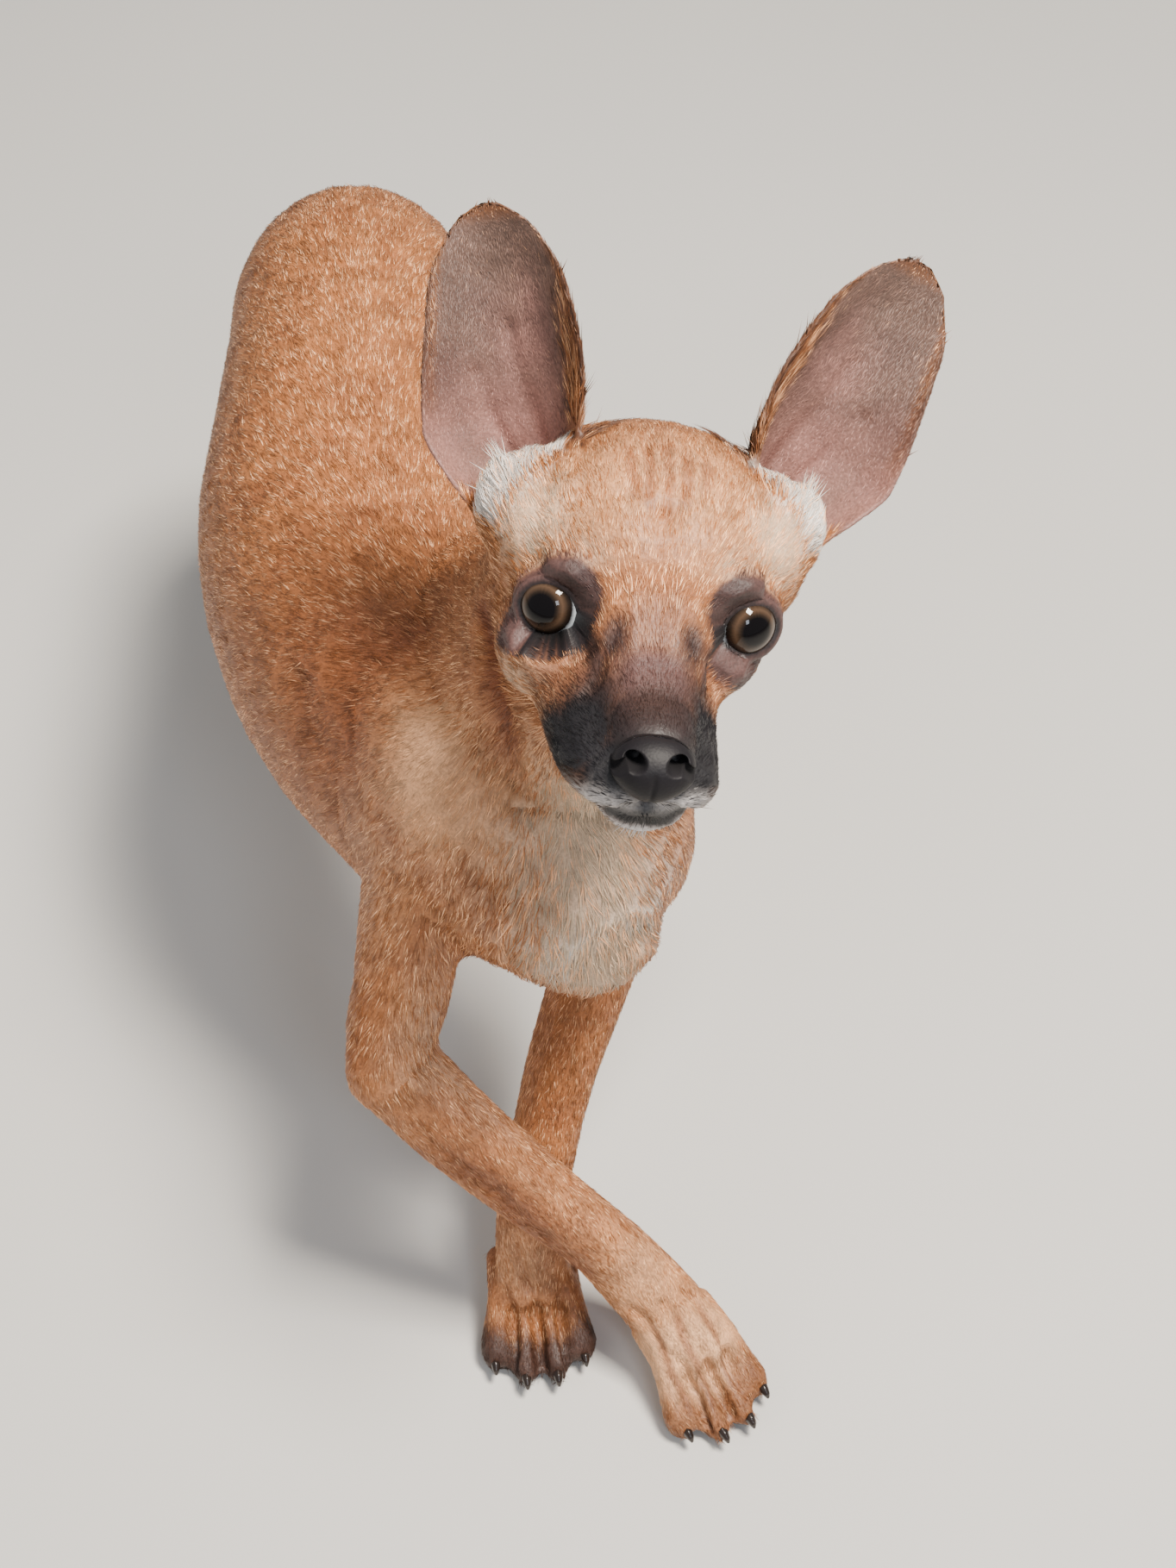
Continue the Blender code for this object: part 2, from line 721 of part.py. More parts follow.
def stand_on_origin():
    """Moves the whole model so that the middle of its box stands on the origin."""
    placed = list(bpy.context.scene.objects)
    points = np.vstack([points_of(piece.data) for piece in placed])
    low, high = points.min(axis=0), points.max(axis=0)
    middle = (low + high) / 2
    shift = Matrix.Translation((-middle[0], -middle[1], -low[2]))
    for piece in placed:
        piece.data.transform(shift)


def main():
    clear_scene()
    body = fuse(whole_body())
    sculpt_head(body)
    thin_out(body, BODY_TRIANGLES)
    pieces = part_body(body)
    head = pieces["head"]
    add_eye("eye_right", -1, head)
    add_eye("eye_left", 1, head)
    add_ear("ear_right", -1, head)
    add_ear("ear_left", 1, head)
    add_nose(head)
    for paw in PAWS:
        add_claws(paw, pieces[paw])
    stand_on_origin()


main()
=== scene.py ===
"""Chihuahua: a life-size still model of a short-coated dog in mid step, looking up at the viewer.

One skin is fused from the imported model's fleshy solids and sculpted, and the coat is laid over it as tufts
of hair. Lengths in the tables are millimetres, which MM turns into metres. The dog faces -Y and its left
is +X."""

import math

import bmesh
import bpy
import numpy as np
from mathutils import Matrix, Vector
from mathutils.bvhtree import BVHTree
from mathutils.kdtree import KDTree


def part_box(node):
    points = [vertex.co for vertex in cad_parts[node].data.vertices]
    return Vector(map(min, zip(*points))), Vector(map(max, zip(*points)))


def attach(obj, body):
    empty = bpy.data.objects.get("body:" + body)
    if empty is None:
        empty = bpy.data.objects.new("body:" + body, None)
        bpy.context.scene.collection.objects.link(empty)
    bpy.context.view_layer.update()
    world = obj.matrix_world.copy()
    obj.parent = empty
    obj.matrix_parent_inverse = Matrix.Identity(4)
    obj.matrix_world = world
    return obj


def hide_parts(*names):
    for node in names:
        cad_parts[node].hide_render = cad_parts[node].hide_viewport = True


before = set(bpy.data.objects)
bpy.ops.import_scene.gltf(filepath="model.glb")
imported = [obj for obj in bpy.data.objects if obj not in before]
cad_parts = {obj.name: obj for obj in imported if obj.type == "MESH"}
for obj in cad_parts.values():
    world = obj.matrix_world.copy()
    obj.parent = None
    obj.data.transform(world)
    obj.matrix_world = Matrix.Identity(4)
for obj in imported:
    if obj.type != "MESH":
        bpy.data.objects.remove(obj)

bl_info = {
    "name": "Chihuahua still model",
    "version": (1, 0, 0),
    "blender": (4, 5, 0),
    "location": "3D View > Sidebar > Chihuahua",
    "description": "Dresses the packed chihuahua with skin, coat, eyes, nose and claws",
    "category": "Object",
}

MM = 0.001
PAWS = ("forepaw_right", "forepaw_left", "hindpaw_right", "hindpaw_left")
TRUNK_NODES = ("chest", "loin", "neck", "tail")
LIMB_NODES = tuple(
    f"{part}_{side}"
    for part in ("upper_arm", "forearm", "forepaw", "thigh", "lower_leg", "hindpaw")
    for side in ("left", "right")
)
EAR_NODES = ("ear_left", "ear_right")
FLESH = ("head", *TRUNK_NODES, *LIMB_NODES, *EAR_NODES)
LIMB_NUMBERS = [FLESH.index(name) for name in LIMB_NODES]

# The head's own frame: origin between the eyes, X to the dog's left, Y to the back of the skull, Z up
HEAD_SPIN = (
    Matrix.Rotation(math.radians(-9.5), 4, "Z")
    @ Matrix.Rotation(math.radians(-21), 4, "X")
    @ Matrix.Rotation(math.radians(8), 4, "Y")
)
EYE_CENTRE = Vector((20.5, 6.5, 0))
EYE_RADIUS = 8.8
EYE_OUTWARD = math.radians(20)
EYE_LIFT = 0.08
CLAW_WEAR = 0.36  # share of the plain claw's length that is worn off
# How far each pupil is turned away from the eye's axis: sideways and up
GAZE = {1: (0.0, 0.02), -1: (-0.1, 0.05)}
EYE_REACH = 16.5  # distance from the eye's centre within which skin counts as the lids'
NOSE_CENTRE = np.array((0, -42.2, -15.4))
NOSE_HALF = np.array((8.9, 6.6, 7.1))
NOSTRIL = np.array((4.5, 3.0))  # sideways and up from the nose's centre
LIP_WHITE = ((0, -37, -33.5), (8, -35, -33.5), (14, -27, -32))  # the thin white fringe under the mouth
# Root of the ear, a point towards its tip, how far its cup is turned out, its length, and its side
EARS = {
    "ear_right": ((-31, 31, 14), (-44, 40, 77), math.radians(14), 68, -1),
    "ear_left": ((32, 31, 16), (54, 42, 74), math.radians(10), 66.5, 1),
}
EAR_HALF_WIDTH = 19.3
# Along the ear: share of its length, half width as a share of the widest, curl in degrees, sideways bow
EAR_OUTLINE = (
    (0.00, 0.66, 100, 0.00),
    (0.12, 0.86, 88, 0.05),
    (0.28, 1.00, 72, 0.06),
    (0.42, 1.00, 62, 0.03),
    (0.60, 0.91, 52, 0.00),
    (0.77, 0.79, 44, 0.00),
    (0.90, 0.60, 36, 0.00),
    (0.97, 0.37, 30, 0.00),
    (1.00, 0.12, 25, 0.00),
)

# Paws: where the toes spring from, the way they point, and how dark their ends are; the left forepaw's extra
# darkness is partly painted shadow of the body
PAW_FRAMES = {
    "forepaw_right": ((16, -179.5, 20), (0.33, -0.94, 0.0), 0.35),
    "forepaw_left": ((-24, -151.5, 19), (-0.1, -1.0, 0.0), 1.2),
    "hindpaw_right": ((-48, 123.5, 17), (-0.03, -1.0, 0.0), 0.8),
    "hindpaw_left": ((8, 152.5, 17), (0.05, -1.0, 0.0), 0.8),
}
TOE_GAPS = (-6.4, 0, 6.4)  # between the toes, sideways from the paw's middle
GAP_FAN = 0.32  # how much the gaps spread towards the tips
# Steps of a gap between toes: ahead of and up from where the toes spring
GAP_ROUTE = ((-2, 4.0), (4, 2.0), (10, -0.5), (15, -4.5), (20, -8), (24.5, -13))
GAP_LENGTH = 24
GAP_WIDTH = 2.9
GAP_SHADE = 2.8  # width of the painted shade along a gap between the toes
GAP_DEPTH = 3.0

# Skin: how far the solids are grown to close their gaps, the voxel, and the rounds of smoothing
GROWTH = 0.4
VOXEL = 0.7
SMOOTHING = {"head": 14, "ear": 40, "paw": 10, "ankle": 130, "body": 50}
SKIN_TRIANGLES = 186000
FACE_REACH = 55  # distance from between the eyes within which the skin keeps its finest triangles
ANKLE = (9, 20)  # heights between which the paws' shape passes from toes to plain leg
WRIST = 38  # height round which the joins of paws and legs are smoothed most
WRIST_REACH = 26
WRIST_ROUNDS = 300
WRIST_PULLS = (0.5, -0.504)
EAR_TIP_ROUNDS = 70
# How deep the skin lies below the solids' surface, in millimetres, by node
COAT_DEPTH = {"head": 0.7, "ear": 0.25, "forepaw": 0.6, "hindpaw": 0.6, "forearm": 0.9, "lower_leg": 0.9}
BODY_DEPTH = 1.5

# Creases of the head: route of the one on the dog's left, width, depth, and whether it is mirrored
MOUTH = ((0, -44, -27), (5, -42, -27.5), (10, -36.5, -28), (15, -27, -27.5), (20, -6, -23))
CREASES = (
    (MOUTH, 2.0, 1.5, True),
    (((0, -48, -21), (0, -44, -27)), 1.4, 0.8, False),
    (((8, -12, 4), (11, -16, -3), (14, -21, -9)), 3.4, 0.7, True),
    (((-6.5, 8, 26), (-7.5, 20, 32)), 2.0, 0.35, False),
    (((-3, 6, 26), (-3.5, 20, 33)), 2.0, 0.4, False),
    (((0.5, 4, 24), (0.6, 22, 33)), 2.0, 0.4, False),
    (((4, 7, 26), (5, 19, 32)), 2.0, 0.35, False),
)

# Swellings of the skin: space, centre, radii, height, mirrored
BULGES = (
    ("body", (-67, -141, 113), (9, 9, 9), 3.2, False),
    ("body", (-56, -128, 132), (9, 9, 9), -1.2, False),
    ("head", (12, 2, 21), (8, 6, 5), 0.9, True),
    ("head", (0, -35, -9.5), (8, 8, 5), 1.3, False),
    ("body", (-40, -112, 190), (10, 14, 20), 1.6, False),
)

NECK_FOLD = ((-22, -95, 244), (-23, -110, 235), (-23, -118, 219), (-22, -122, 199), (-23, -130, 186))
SHOULDER_FOLD = ((-30, -80, 226), (-51, -76, 208), (-60, -86, 189), (-63, -95, 165))
ELBOW_FOLD = ((-66, -60, 200), (-68, -67, 191), (-66, -83, 174), (-61, -95, 151))
FOREARM_FOLD = ((-57, -149.5, 107), (-40, -158, 85), (-26, -164, 64), (-10, -170, 43))
# Soft folds of the body, and of the tendons over the forepaws: route, width and depth
FOLDS = (
    (NECK_FOLD, 10.0, 3.2),
    (SHOULDER_FOLD, 14.0, 3.2),
    (ELBOW_FOLD, 11.0, 2.0),
    (FOREARM_FOLD, 5.5, 1.6),
    (((7, -176, 37), (11, -180, 34.5), (16, -190, 22)), 3.0, 1.3),
    (((-2, -176, 36), (3.5, -181, 31.6), (8.8, -191, 19)), 3.0, 1.3),
    (((14, -173, 37), (19, -177, 33), (25.7, -189, 17)), 3.0, 1.3),
    (((-29, -148, 40), (-27, -154, 30), (-26, -160, 22)), 3.2, 1.2),
)

EAR_TUCK = (4.0, 1.5)  # how far the ear's lower outer corner is drawn in and up
# Folds inside the ear's cup: route across the ear, away from the crown, and up it, width and depth
EAR_FOLDS = (
    (((-6, 5), (-4, 15), (-1, 27), (0, 38)), 3.6, 0.6),
    (((3, 6), (6, 16), (8, 28)), 3.0, 0.6),
)

# Lie of the hair on the trunk and neck: a place on the skin and the way the hair runs there
TRUNK_LIE = (
    ((-20, -60, 222), (0, 1, -0.2)),
    ((-42, 10, 222), (0, 1, 0)),
    ((-25, 110, 215), (0, 0.9, -0.4)),
    ((-20, 155, 185), (0, 0.3, -1)),
    ((-68, -75, 165), (-0.1, 0.5, -0.85)),
    ((28, -70, 165), (0.1, 0.5, -0.85)),
    ((-90, 10, 165), (0, 0.8, -0.6)),
    ((8, 10, 165), (0, 0.8, -0.6)),
    ((-42, 20, 112), (0, 1, 0)),
    ((-25, -90, 110), (0, 1, -0.1)),
    ((-5, -145, 160), (0.1, 0, -1)),
    ((0, -135, 200), (0, 0.05, -1)),
    ((0, -70, 235), (-0.1, 0.9, -0.5)),
    ((32, -100, 215), (0.1, 0.6, -0.8)),
    ((-38, -95, 215), (-0.2, 0.5, -0.85)),
    ((-17, 155, 190), (0, 0.6, -0.8)),
)
LIMB_LIE = {
    "upper_arm_right": (-0.1, -0.35, -1),
    "forearm_right": (0.62, -0.32, -0.72),
    "forepaw_right": (0.3, -0.9, -0.35),
    "upper_arm_left": (-0.1, -0.3, -1),
    "forearm_left": (-0.37, -0.55, -0.75),
    "forepaw_left": (-0.1, -0.9, -0.4),
    "thigh_right": (0, 0.1, -1),
    "lower_leg_right": (0.05, 0.6, -0.8),
    "hindpaw_right": (0, -0.7, -0.7),
    "thigh_left": (0.05, 0.15, -1),
    "lower_leg_left": (0, 0.6, -0.8),
    "hindpaw_left": (0, -0.7, -0.7),
    "tail": (0.15, 0.35, -0.95),
}
HAIR_SOURCE = (0, -46, -24)  # the point by the nose that the head's hair runs back from

# Hair length by node, in millimetres
HAIR_LENGTH = {
    "head": 3.4,
    "ear": 2.4,
    "neck": 4.2,
    "chest": 4.0,
    "loin": 4.6,
    "tail": 6.0,
    "upper_arm": 4.0,
    "forearm": 3.4,
    "forepaw": 2.8,
    "thigh": 4.8,
    "lower_leg": 3.8,
    "hindpaw": 2.8,
}
# Places where the hair is longer or shorter: space, centre, radii, millimetres added, mirrored
LONGER = (
    ("body", (-6, -142, 158), (22, 18, 26), 3.5, False),
    ("body", (-24, 152, 180), (24, 22, 28), 4.0, False),
    ("body", (-45, 125, 140), (14, 14, 34), 3.0, False),
    ("body", (8, 140, 140), (14, 14, 34), 3.0, False),
    ("head", (31, 24, 19), (9, 12, 13), 2.2, True),
    ("head", (25, 24, -26), (10, 16, 14), 2.5, True),
    ("head", (0, -28, -12), (16, 22, 12), -1.5, False),
    ("head", (21, -3, 0), (13, 10, 12), -2.0, True),
)

# Soft spots of colour, some of them painted light and shade: name, space, centre, radii, strength, mirrored
MARKINGS = (
    ("black", "head", (0, -40, -19), (19, 15, 11), 1.4, False),
    ("black", "head", (13, -28, -18), (10, 15, 11), 1.4, True),
    ("black", "head", (18, -22, -18), (7, 8, 7), 1.1, True),
    ("black", "head", (0, -37, -30), (15, 9, 4), 1.2, False),
    ("mauve", "head", (0, -25, -3), (12, 12, 9), 1.2, False),
    ("smoke", "head", (0, -34, -9), (13, 11, 9), 1.4, False),
    ("smoke", "head", (13, -24, -9), (9, 9, 8), 1.0, True),
    ("smoke", "head", (8.5, -14, 0), (4, 6, 6.5), 1.0, True),
    ("smoke", "head", (13, -5, 3.5), (3.5, 5, 5), 1.0, True),
    ("mauve", "head", (13, -13, -6), (6, 8, 8), 0.6, True),
    ("mauve", "head", (20, -9, -11), (8, 9, 5), 0.5, True),
    ("mauve", "head", (0, -15, 1), (9, 11, 9), 0.65, False),
    ("brown", "head", (0, -22, -3), (9, 8, 7), 0.45, False),
    ("frost", "head", (9, -41, -24.5), (8, 6, 3), 0.7, True),
    ("frost", "head", (0, -45, -24.5), (7, 5, 2), 0.45, False),
    ("cream", "head", (17, -1, 15), (8, 6, 5), 0.35, True),
    ("cream", "head", (27, 12, 16), (11, 14, 12), 0.6, True),
    ("cream", "head", (27, -2, -17), (10, 14, 8), 0.4, True),
    ("cream", "head", (16, -8, -28), (9, 18, 8), 0.5, True),
    ("pale", "head", (0, 10, 27), (30, 22, 15), 0.42, False),
    ("red", "head", (0, -2, 22), (6, 9, 7), 0.3, False),
    ("pale", "head", (26, -2, -20), (11, 15, 9), 0.3, True),
    ("cream", "body", (2, -134, 190), (24, 16, 28), 1.0, False),
    ("cream", "body", (-4, -144, 160), (22, 16, 24), 0.9, False),
    # These two pale spots are painted sunlight on the lit ridge of the neck.
    ("pale", "body", (-24, -126, 203), (11, 14, 26), 0.9, False),
    ("pale", "body", (-40, -108, 202), (11, 14, 26), 1.3, False),
    # Painted shadow of the body over the left forepaw.
    ("brown", "body", (-25, -155, 20), (14, 14, 9), 0.3, False),
    ("pale", "body", (-55, -105, 165), (16, 16, 22), 0.4, False),
    ("cream", "body", (-42, 20, 112), (34, 80, 16), 0.7, False),
    # Painted shade under the chin, on the throat.
    ("taupe", "body", (-4, -136, 184), (13, 12, 12), 0.45, False),
    ("white", "body", (-11, -147, 160), (8, 10, 10), 0.9, False),
    ("white", "body", (16, -140, 168), (10, 10, 12), 0.7, False),
    ("red", "body", (-50, -60, 195), (40, 40, 34), 0.5, False),
    # The right forepaw's pale is partly painted sunlight on it.
    ("pale", "body", (14, -188, 18), (18, 22, 18), 1.2, False),
    ("pale", "body", (-26, -152, 30), (12, 12, 12), 0.4, False),
    ("pale", "body", (5, -174, 45), (14, 14, 18), 0.55, False),
    ("pink", "body", (-35, -140, 110), (7, 10, 8), 0.7, False),
    ("cream", "body", (-46, -140, 124), (12, 12, 14), 0.5, False),
)
# Bands of colour along routes, some of them painted shade in folds and creases: name, space, route, width,
# strength, mirrored
BANDS = (
    ("white", "head", ((22, 36, 29), (31, 26, 24), (36, 21, 17), (39, 20, 8)), 9.5, 0.75, True),
    # The red bands along the forehead's creases are painted shade in its furrows.
    ("red", "head", ((-6.5, 3, 25), (-7.5, 20, 32)), 2.0, 0.6, False),
    ("red", "head", ((-3, 0, 24), (-3.5, 20, 33)), 2.0, 0.6, False),
    ("red", "head", ((0.5, -2, 22), (0.6, 22, 33)), 2.0, 0.6, False),
    ("red", "head", ((4, 2, 25), (5, 19, 32)), 2.0, 0.6, False),
    ("red", "head", ((8, 6, 26), (9.5, 18, 31)), 2.0, 0.6, False),
    ("smoke", "head", ((12, -7, -2), (10.5, -13, -6), (12.5, -20, -10)), 3.6, 0.9, True),
    ("black", "head", MOUTH, 3.4, 1.2, True),
    ("frost", "head", LIP_WHITE, 2.6, 1.2, True),
    # The red bands along the folds of neck, shoulder, elbow and forearm and along the forepaw's tendons are
    # painted shade in those folds.
    ("red", "body", NECK_FOLD[:4], 5.5, 1.0, False),
    ("red", "body", SHOULDER_FOLD, 9.0, 0.9, False),
    ("red", "body", ELBOW_FOLD, 7.0, 0.6, False),
    ("red", "body", ((11, -180, 34.5), (16, -190, 22), (21, -200, 11)), 2.0, 0.7, False),
    ("red", "body", ((3.5, -181, 31.6), (8.8, -191, 19), (14, -201, 9)), 2.0, 0.7, False),
    ("red", "body", ((19, -177, 33), (25.7, -189, 17), (31, -200, 8)), 2.0, 0.7, False),
    ("red", "body", FOREARM_FOLD, 3.6, 0.8, False),
)
# Names of the markings in the order that they are laid over each other
MARKING_NAMES = (
    "pale", "cream", "taupe", "red", "brown", "mauve", "smoke", "black", "white", "pink", "frost"
)
PICKED = ("pale", "cream", "white", "frost", "taupe")  # light markings, which strands take one by one
# Colour inside the ear, with painted highlight in the cup's middle: name, place across and up the ear in
# millimetres, radii, strength
EAR_SPOTS = (
    ("pink", (2, 15), (14, 14), 1.0),
    # This pink spot is bare skin, partly a painted highlight in the middle of the cup.
    ("pink", (-2, 33), (8, 9), 0.7),
    ("mauve", (-5, 10), (7, 8), 0.7),
    ("mauve", (14, 26), (5, 10), 0.6),
    ("mauve", (-9, 36), (5, 14), 0.6),
    ("mauve", (1, 24), (3, 7), 0.35),
    ("pink", (-6, 42), (4, 6), 0.4),
    ("mauve", (7, 44), (8, 5), 0.3),
    ("mauve", (-8, 6), (6, 7), 0.9),
    ("mauve", (5, 13), (2.5, 8), 0.6),
    ("mauve", (17, 14), (3, 5), 0.8),
    # Painted highlight in the cup.
    ("cream", (0, 40), (5, 7), 0.25),
    ("cream", (4, 56), (7, 5), 0.15),
)

# Places with long wispy hair: space, centre, radii, strength, mirrored
WISPS = (
    ("body", (-5, -140, 165), (28, 20, 40), 0.5, False),
    ("body", (-27, 150, 180), (30, 22, 34), 0.25, False),
    ("head", (23, 35, 29), (7, 6, 6), 1.0, True),
    ("head", (31, 26, 24), (7, 7, 7), 1.0, True),
    ("head", (37, 22, 14), (7, 7, 8), 1.0, True),
    ("head", (37, 33, 24), (8, 6, 9), 0.7, True),
    ("head", (24, 22, -24), (9, 15, 12), 0.3, True),
)


def linear(code):
    """A linear colour with its alpha, from an sRGB hex code."""
    parts = [int(code[start : start + 2], 16) / 255 for start in (0, 2, 4)]
    return (*(c / 12.92 if c <= 0.04045 else ((c + 0.055) / 1.055) ** 2.4 for c in parts), 1.0)


def colour_property(name, description, code):
    return bpy.props.FloatVectorProperty(
        name=name, description=description, size=4, min=0, max=1, subtype="COLOR", default=linear(code)
    )


class CoatColours(bpy.types.PropertyGroup):
    tan: colour_property("Tan", "The coat's main colour", "b3703f")
    # Red also paints shade along the folds of the neck, shoulder, elbow and forearm, the forepaw's tendons
    # and the forehead's furrows.
    red: colour_property("Red", "Deeper red tan of the forehead and shoulders", "85492a")
    # Pale also paints light: glints on the hair tips, the sunlit ridge of the neck and the lit right
    # forepaw.
    pale: colour_property("Pale", "Sun-paled tan of the back and paws", "f2b98a")
    cream: colour_property("Cream", "Cream of the brows, cheeks and chest", "ecd0b0")
    white: colour_property("White", "White hair at the ears, lips and breastbone", "fbf3ea")
    # Taupe also paints the shade under the chin, on the throat.
    taupe: colour_property("Taupe", "Grey brown down inside the ears", "70564b")
    frost: colour_property("Frost", "White hairs of the lips and chin", "e6dfdc")
    # Smoke also paints a little shade between the toes.
    smoke: colour_property("Smoke", "Purple brown round the eyes and on the muzzle's bridge", "3a2825")
    mauve: colour_property("Mauve", "Thin haired skin round the eyes and on the bridge", "614440")
    # Brown also paints shade between the toes and the body's shadow over the left forepaw.
    brown: colour_property("Brown", "Dark brown fringe of the ears", "4e3020")
    black: colour_property("Black", "Black of the muzzle and lips", "141216")
    pink: colour_property("Pink", "Bare skin in the armpits and ears", "a4756b")


class CoatSizes(bpy.types.PropertyGroup):
    body_tuft: bpy.props.FloatProperty(
        name="Body tuft", description="Width of a tuft on the body", default=0.42 * MM, unit="LENGTH"
    )
    face_tuft: bpy.props.FloatProperty(
        name="Face tuft",
        description="Width of a tuft on the face, ears and legs",
        default=0.34 * MM,
        unit="LENGTH",
    )
    lift: bpy.props.FloatProperty(
        name="Lift", description="Height of a tuft's tip over the skin", default=0.9 * MM, unit="LENGTH"
    )
    clump: bpy.props.FloatProperty(
        name="Lock",
        description="Width of the locks that short hair lies in",
        default=1.3 * MM,
        unit="LENGTH",
    )
    tousle: bpy.props.FloatProperty(
        name="Tousle", description="How far the locks turn from each other", default=0.5, unit="ROTATION"
    )
    stray: bpy.props.FloatProperty(
        name="Stray", description="How far a tuft may turn from the lie", default=0.12, unit="ROTATION"
    )


class EyeSettings(bpy.types.PropertyGroup):
    pupil: bpy.props.FloatProperty(
        name="Pupil", description="Radius of the pupil", default=2.9 * MM, unit="LENGTH"
    )
    iris: bpy.props.FloatProperty(
        name="Iris", description="Radius of the iris", default=6.2 * MM, unit="LENGTH"
    )
    amber: colour_property("Amber", "Inner ring of the iris", "48372a")
    brown: colour_property("Brown", "Outer ring of the iris", "211913")


def add_node(tree, kind, inputs=(), **settings):
    """Adds a node with its settings, and links or sets its inputs."""
    node = tree.nodes.new(kind)
    for name, value in settings.items():
        setattr(node, name, value)
    for key, value in dict(inputs).items():
        if isinstance(value, bpy.types.NodeSocket):
            tree.links.new(value, node.inputs[key])
        else:
            node.inputs[key].default_value = value
    return node


def new_material(name):
    """An empty node material with its output."""
    material = bpy.data.materials.new(name)
    material.use_nodes = True
    tree = material.node_tree
    tree.nodes.clear()
    return material, tree, tree.nodes.new("ShaderNodeOutputMaterial")


def mixed(tree, factor, first, second, blend="MIX"):
    """The colour socket of one colour laid over another."""
    node = add_node(
        tree, "ShaderNodeMix", {0: factor, 6: first, 7: second}, data_type="RGBA", blend_type=blend
    )
    return node.outputs[2]


def toned(tree, colour, tone):
    """A colour made darker or lighter by the same amount in all its parts."""
    grey = add_node(tree, "ShaderNodeCombineColor", {0: tone, 1: tone, 2: tone})
    return mixed(tree, 1.0, colour, grey.outputs[0], "MULTIPLY")


def reading(tree, name):
    return add_node(tree, "ShaderNodeAttribute", attribute_name=name).outputs["Fac"]


def picked(tree, amount):
    """How much of a marking's colour a strand takes: strands are mostly wholly one colour or another."""
    reach = add_node(tree, "ShaderNodeMath", {0: amount, 1: 4.5}, operation="MULTIPLY")
    strand = add_node(tree, "ShaderNodeMath", {0: reading(tree, "strand"), 1: 4.0}, operation="MULTIPLY")
    pair = {0: reach.outputs[0], 1: strand.outputs[0]}
    share = add_node(tree, "ShaderNodeMath", pair, operation="SUBTRACT", use_clamp=True)
    return share.outputs[0]


def coat_colour(tree, colours, glint=None):
    """The markings of the coat, laid over its tan, from the masks that skin and tufts share; some markings
    are painted light and shade, and a glint, when given, paints pale highlights on single strands.
    """
    place = add_node(tree, "ShaderNodeTexCoord").outputs["Object"]
    patches = add_node(tree, "ShaderNodeTexNoise", {"Vector": place, "Scale": 1 / (14 * MM), "Detail": 3.0})
    cloud = add_node(tree, "ShaderNodeTexNoise", {"Vector": place, "Scale": 1 / (9 * MM), "Detail": 4.0})
    tone = add_node(
        tree, "ShaderNodeMapRange", {"Value": cloud.outputs["Fac"], 1: 0.3, 2: 0.7, 3: 0.78, 4: 1.12}
    )
    deeper = add_node(
        tree, "ShaderNodeMapRange", {"Value": patches.outputs["Fac"], 1: 0.42, 2: 0.68, 3: 0.0, 4: 0.45}
    )
    colour = mixed(tree, deeper.outputs[0], tuple(colours.tan), tuple(colours.red))
    # The glint paints pale highlights of light on single strands.
    if glint:
        colour = mixed(tree, glint, colour, tuple(colours.pale))
    for name in MARKING_NAMES:
        amount = reading(tree, name)
        if glint and name in PICKED:
            amount = picked(tree, amount)
        colour = mixed(tree, amount, colour, tuple(getattr(colours, name)))
    return toned(tree, colour, tone.outputs[0])


def tuft_material(colours):
    """Short dog hair: satin keratin strands of mixed tones that read as a grizzle, the palest of them
    painted glints of light on the hair tips; each tuft is darker at the root as painted shade among the
    hairs and lighter at the tip as a painted highlight.
    """
    material, tree, output = new_material("short_dog_hair")
    strand = reading(tree, "strand")
    # Strands past the threshold turn pale: painted glints of light on the hair tips.
    light = add_node(tree, "ShaderNodeMapRange", {"Value": strand, 1: 0.56, 2: 0.8, 3: 0.0, 4: 1.0})
    colour = coat_colour(tree, colours, light.outputs[0])
    shade = add_node(tree, "ShaderNodeMapRange", {"Value": strand, 1: 0.2, 2: 0.8, 3: 0.58, 4: 1.3})
    # Darker at the root and lighter at the tip: painted shade among the hairs and a painted highlight at the
    # tips.
    root = add_node(
        tree, "ShaderNodeMapRange", {"Value": reading(tree, "along"), 1: 0.0, 2: 1.0, 3: 0.72, 4: 1.12}
    )
    both = add_node(tree, "ShaderNodeMath", {0: shade.outputs[0], 1: root.outputs[0]}, operation="MULTIPLY")
    colour = toned(tree, colour, both.outputs[0])
    shader = add_node(
        tree,
        "ShaderNodeBsdfPrincipled",
        {"Base Color": colour, "Roughness": 0.5, "IOR": 1.55, "Specular IOR Level": 0.35},
    )
    tree.links.new(shader.outputs[0], output.inputs[0])
    return material


def skin_material(colours):
    """The dog's skin with its finest down: matt, dark where the coat is dark, wrinkled finely."""
    material, tree, output = new_material("dog_skin")
    colour = coat_colour(tree, colours)
    place = add_node(tree, "ShaderNodeTexCoord").outputs["Object"]
    down = add_node(tree, "ShaderNodeTexNoise", {"Vector": place, "Scale": 1 / (0.7 * MM), "Detail": 4.0})
    dimmed = add_node(
        tree, "ShaderNodeMapRange", {"Value": down.outputs["Fac"], 1: 0.3, 2: 0.7, 3: 0.55, 4: 0.95}
    )
    colour = toned(tree, colour, dimmed.outputs[0])
    bump = add_node(
        tree, "ShaderNodeBump", {"Strength": 0.5, "Distance": 0.3 * MM, "Height": down.outputs["Fac"]}
    )
    shader = add_node(
        tree,
        "ShaderNodeBsdfPrincipled",
        {"Base Color": colour, "Roughness": 0.55, "Normal": bump.outputs[0]},
    )
    tree.links.new(shader.outputs[0], output.inputs[0])
    return material


# Meshes as arrays


def add_object(name, mesh, material=None):
    placed = bpy.data.objects.new(name, mesh)
    bpy.context.scene.collection.objects.link(placed)
    if material:
        mesh.materials.clear()
        mesh.materials.append(material)
    return placed


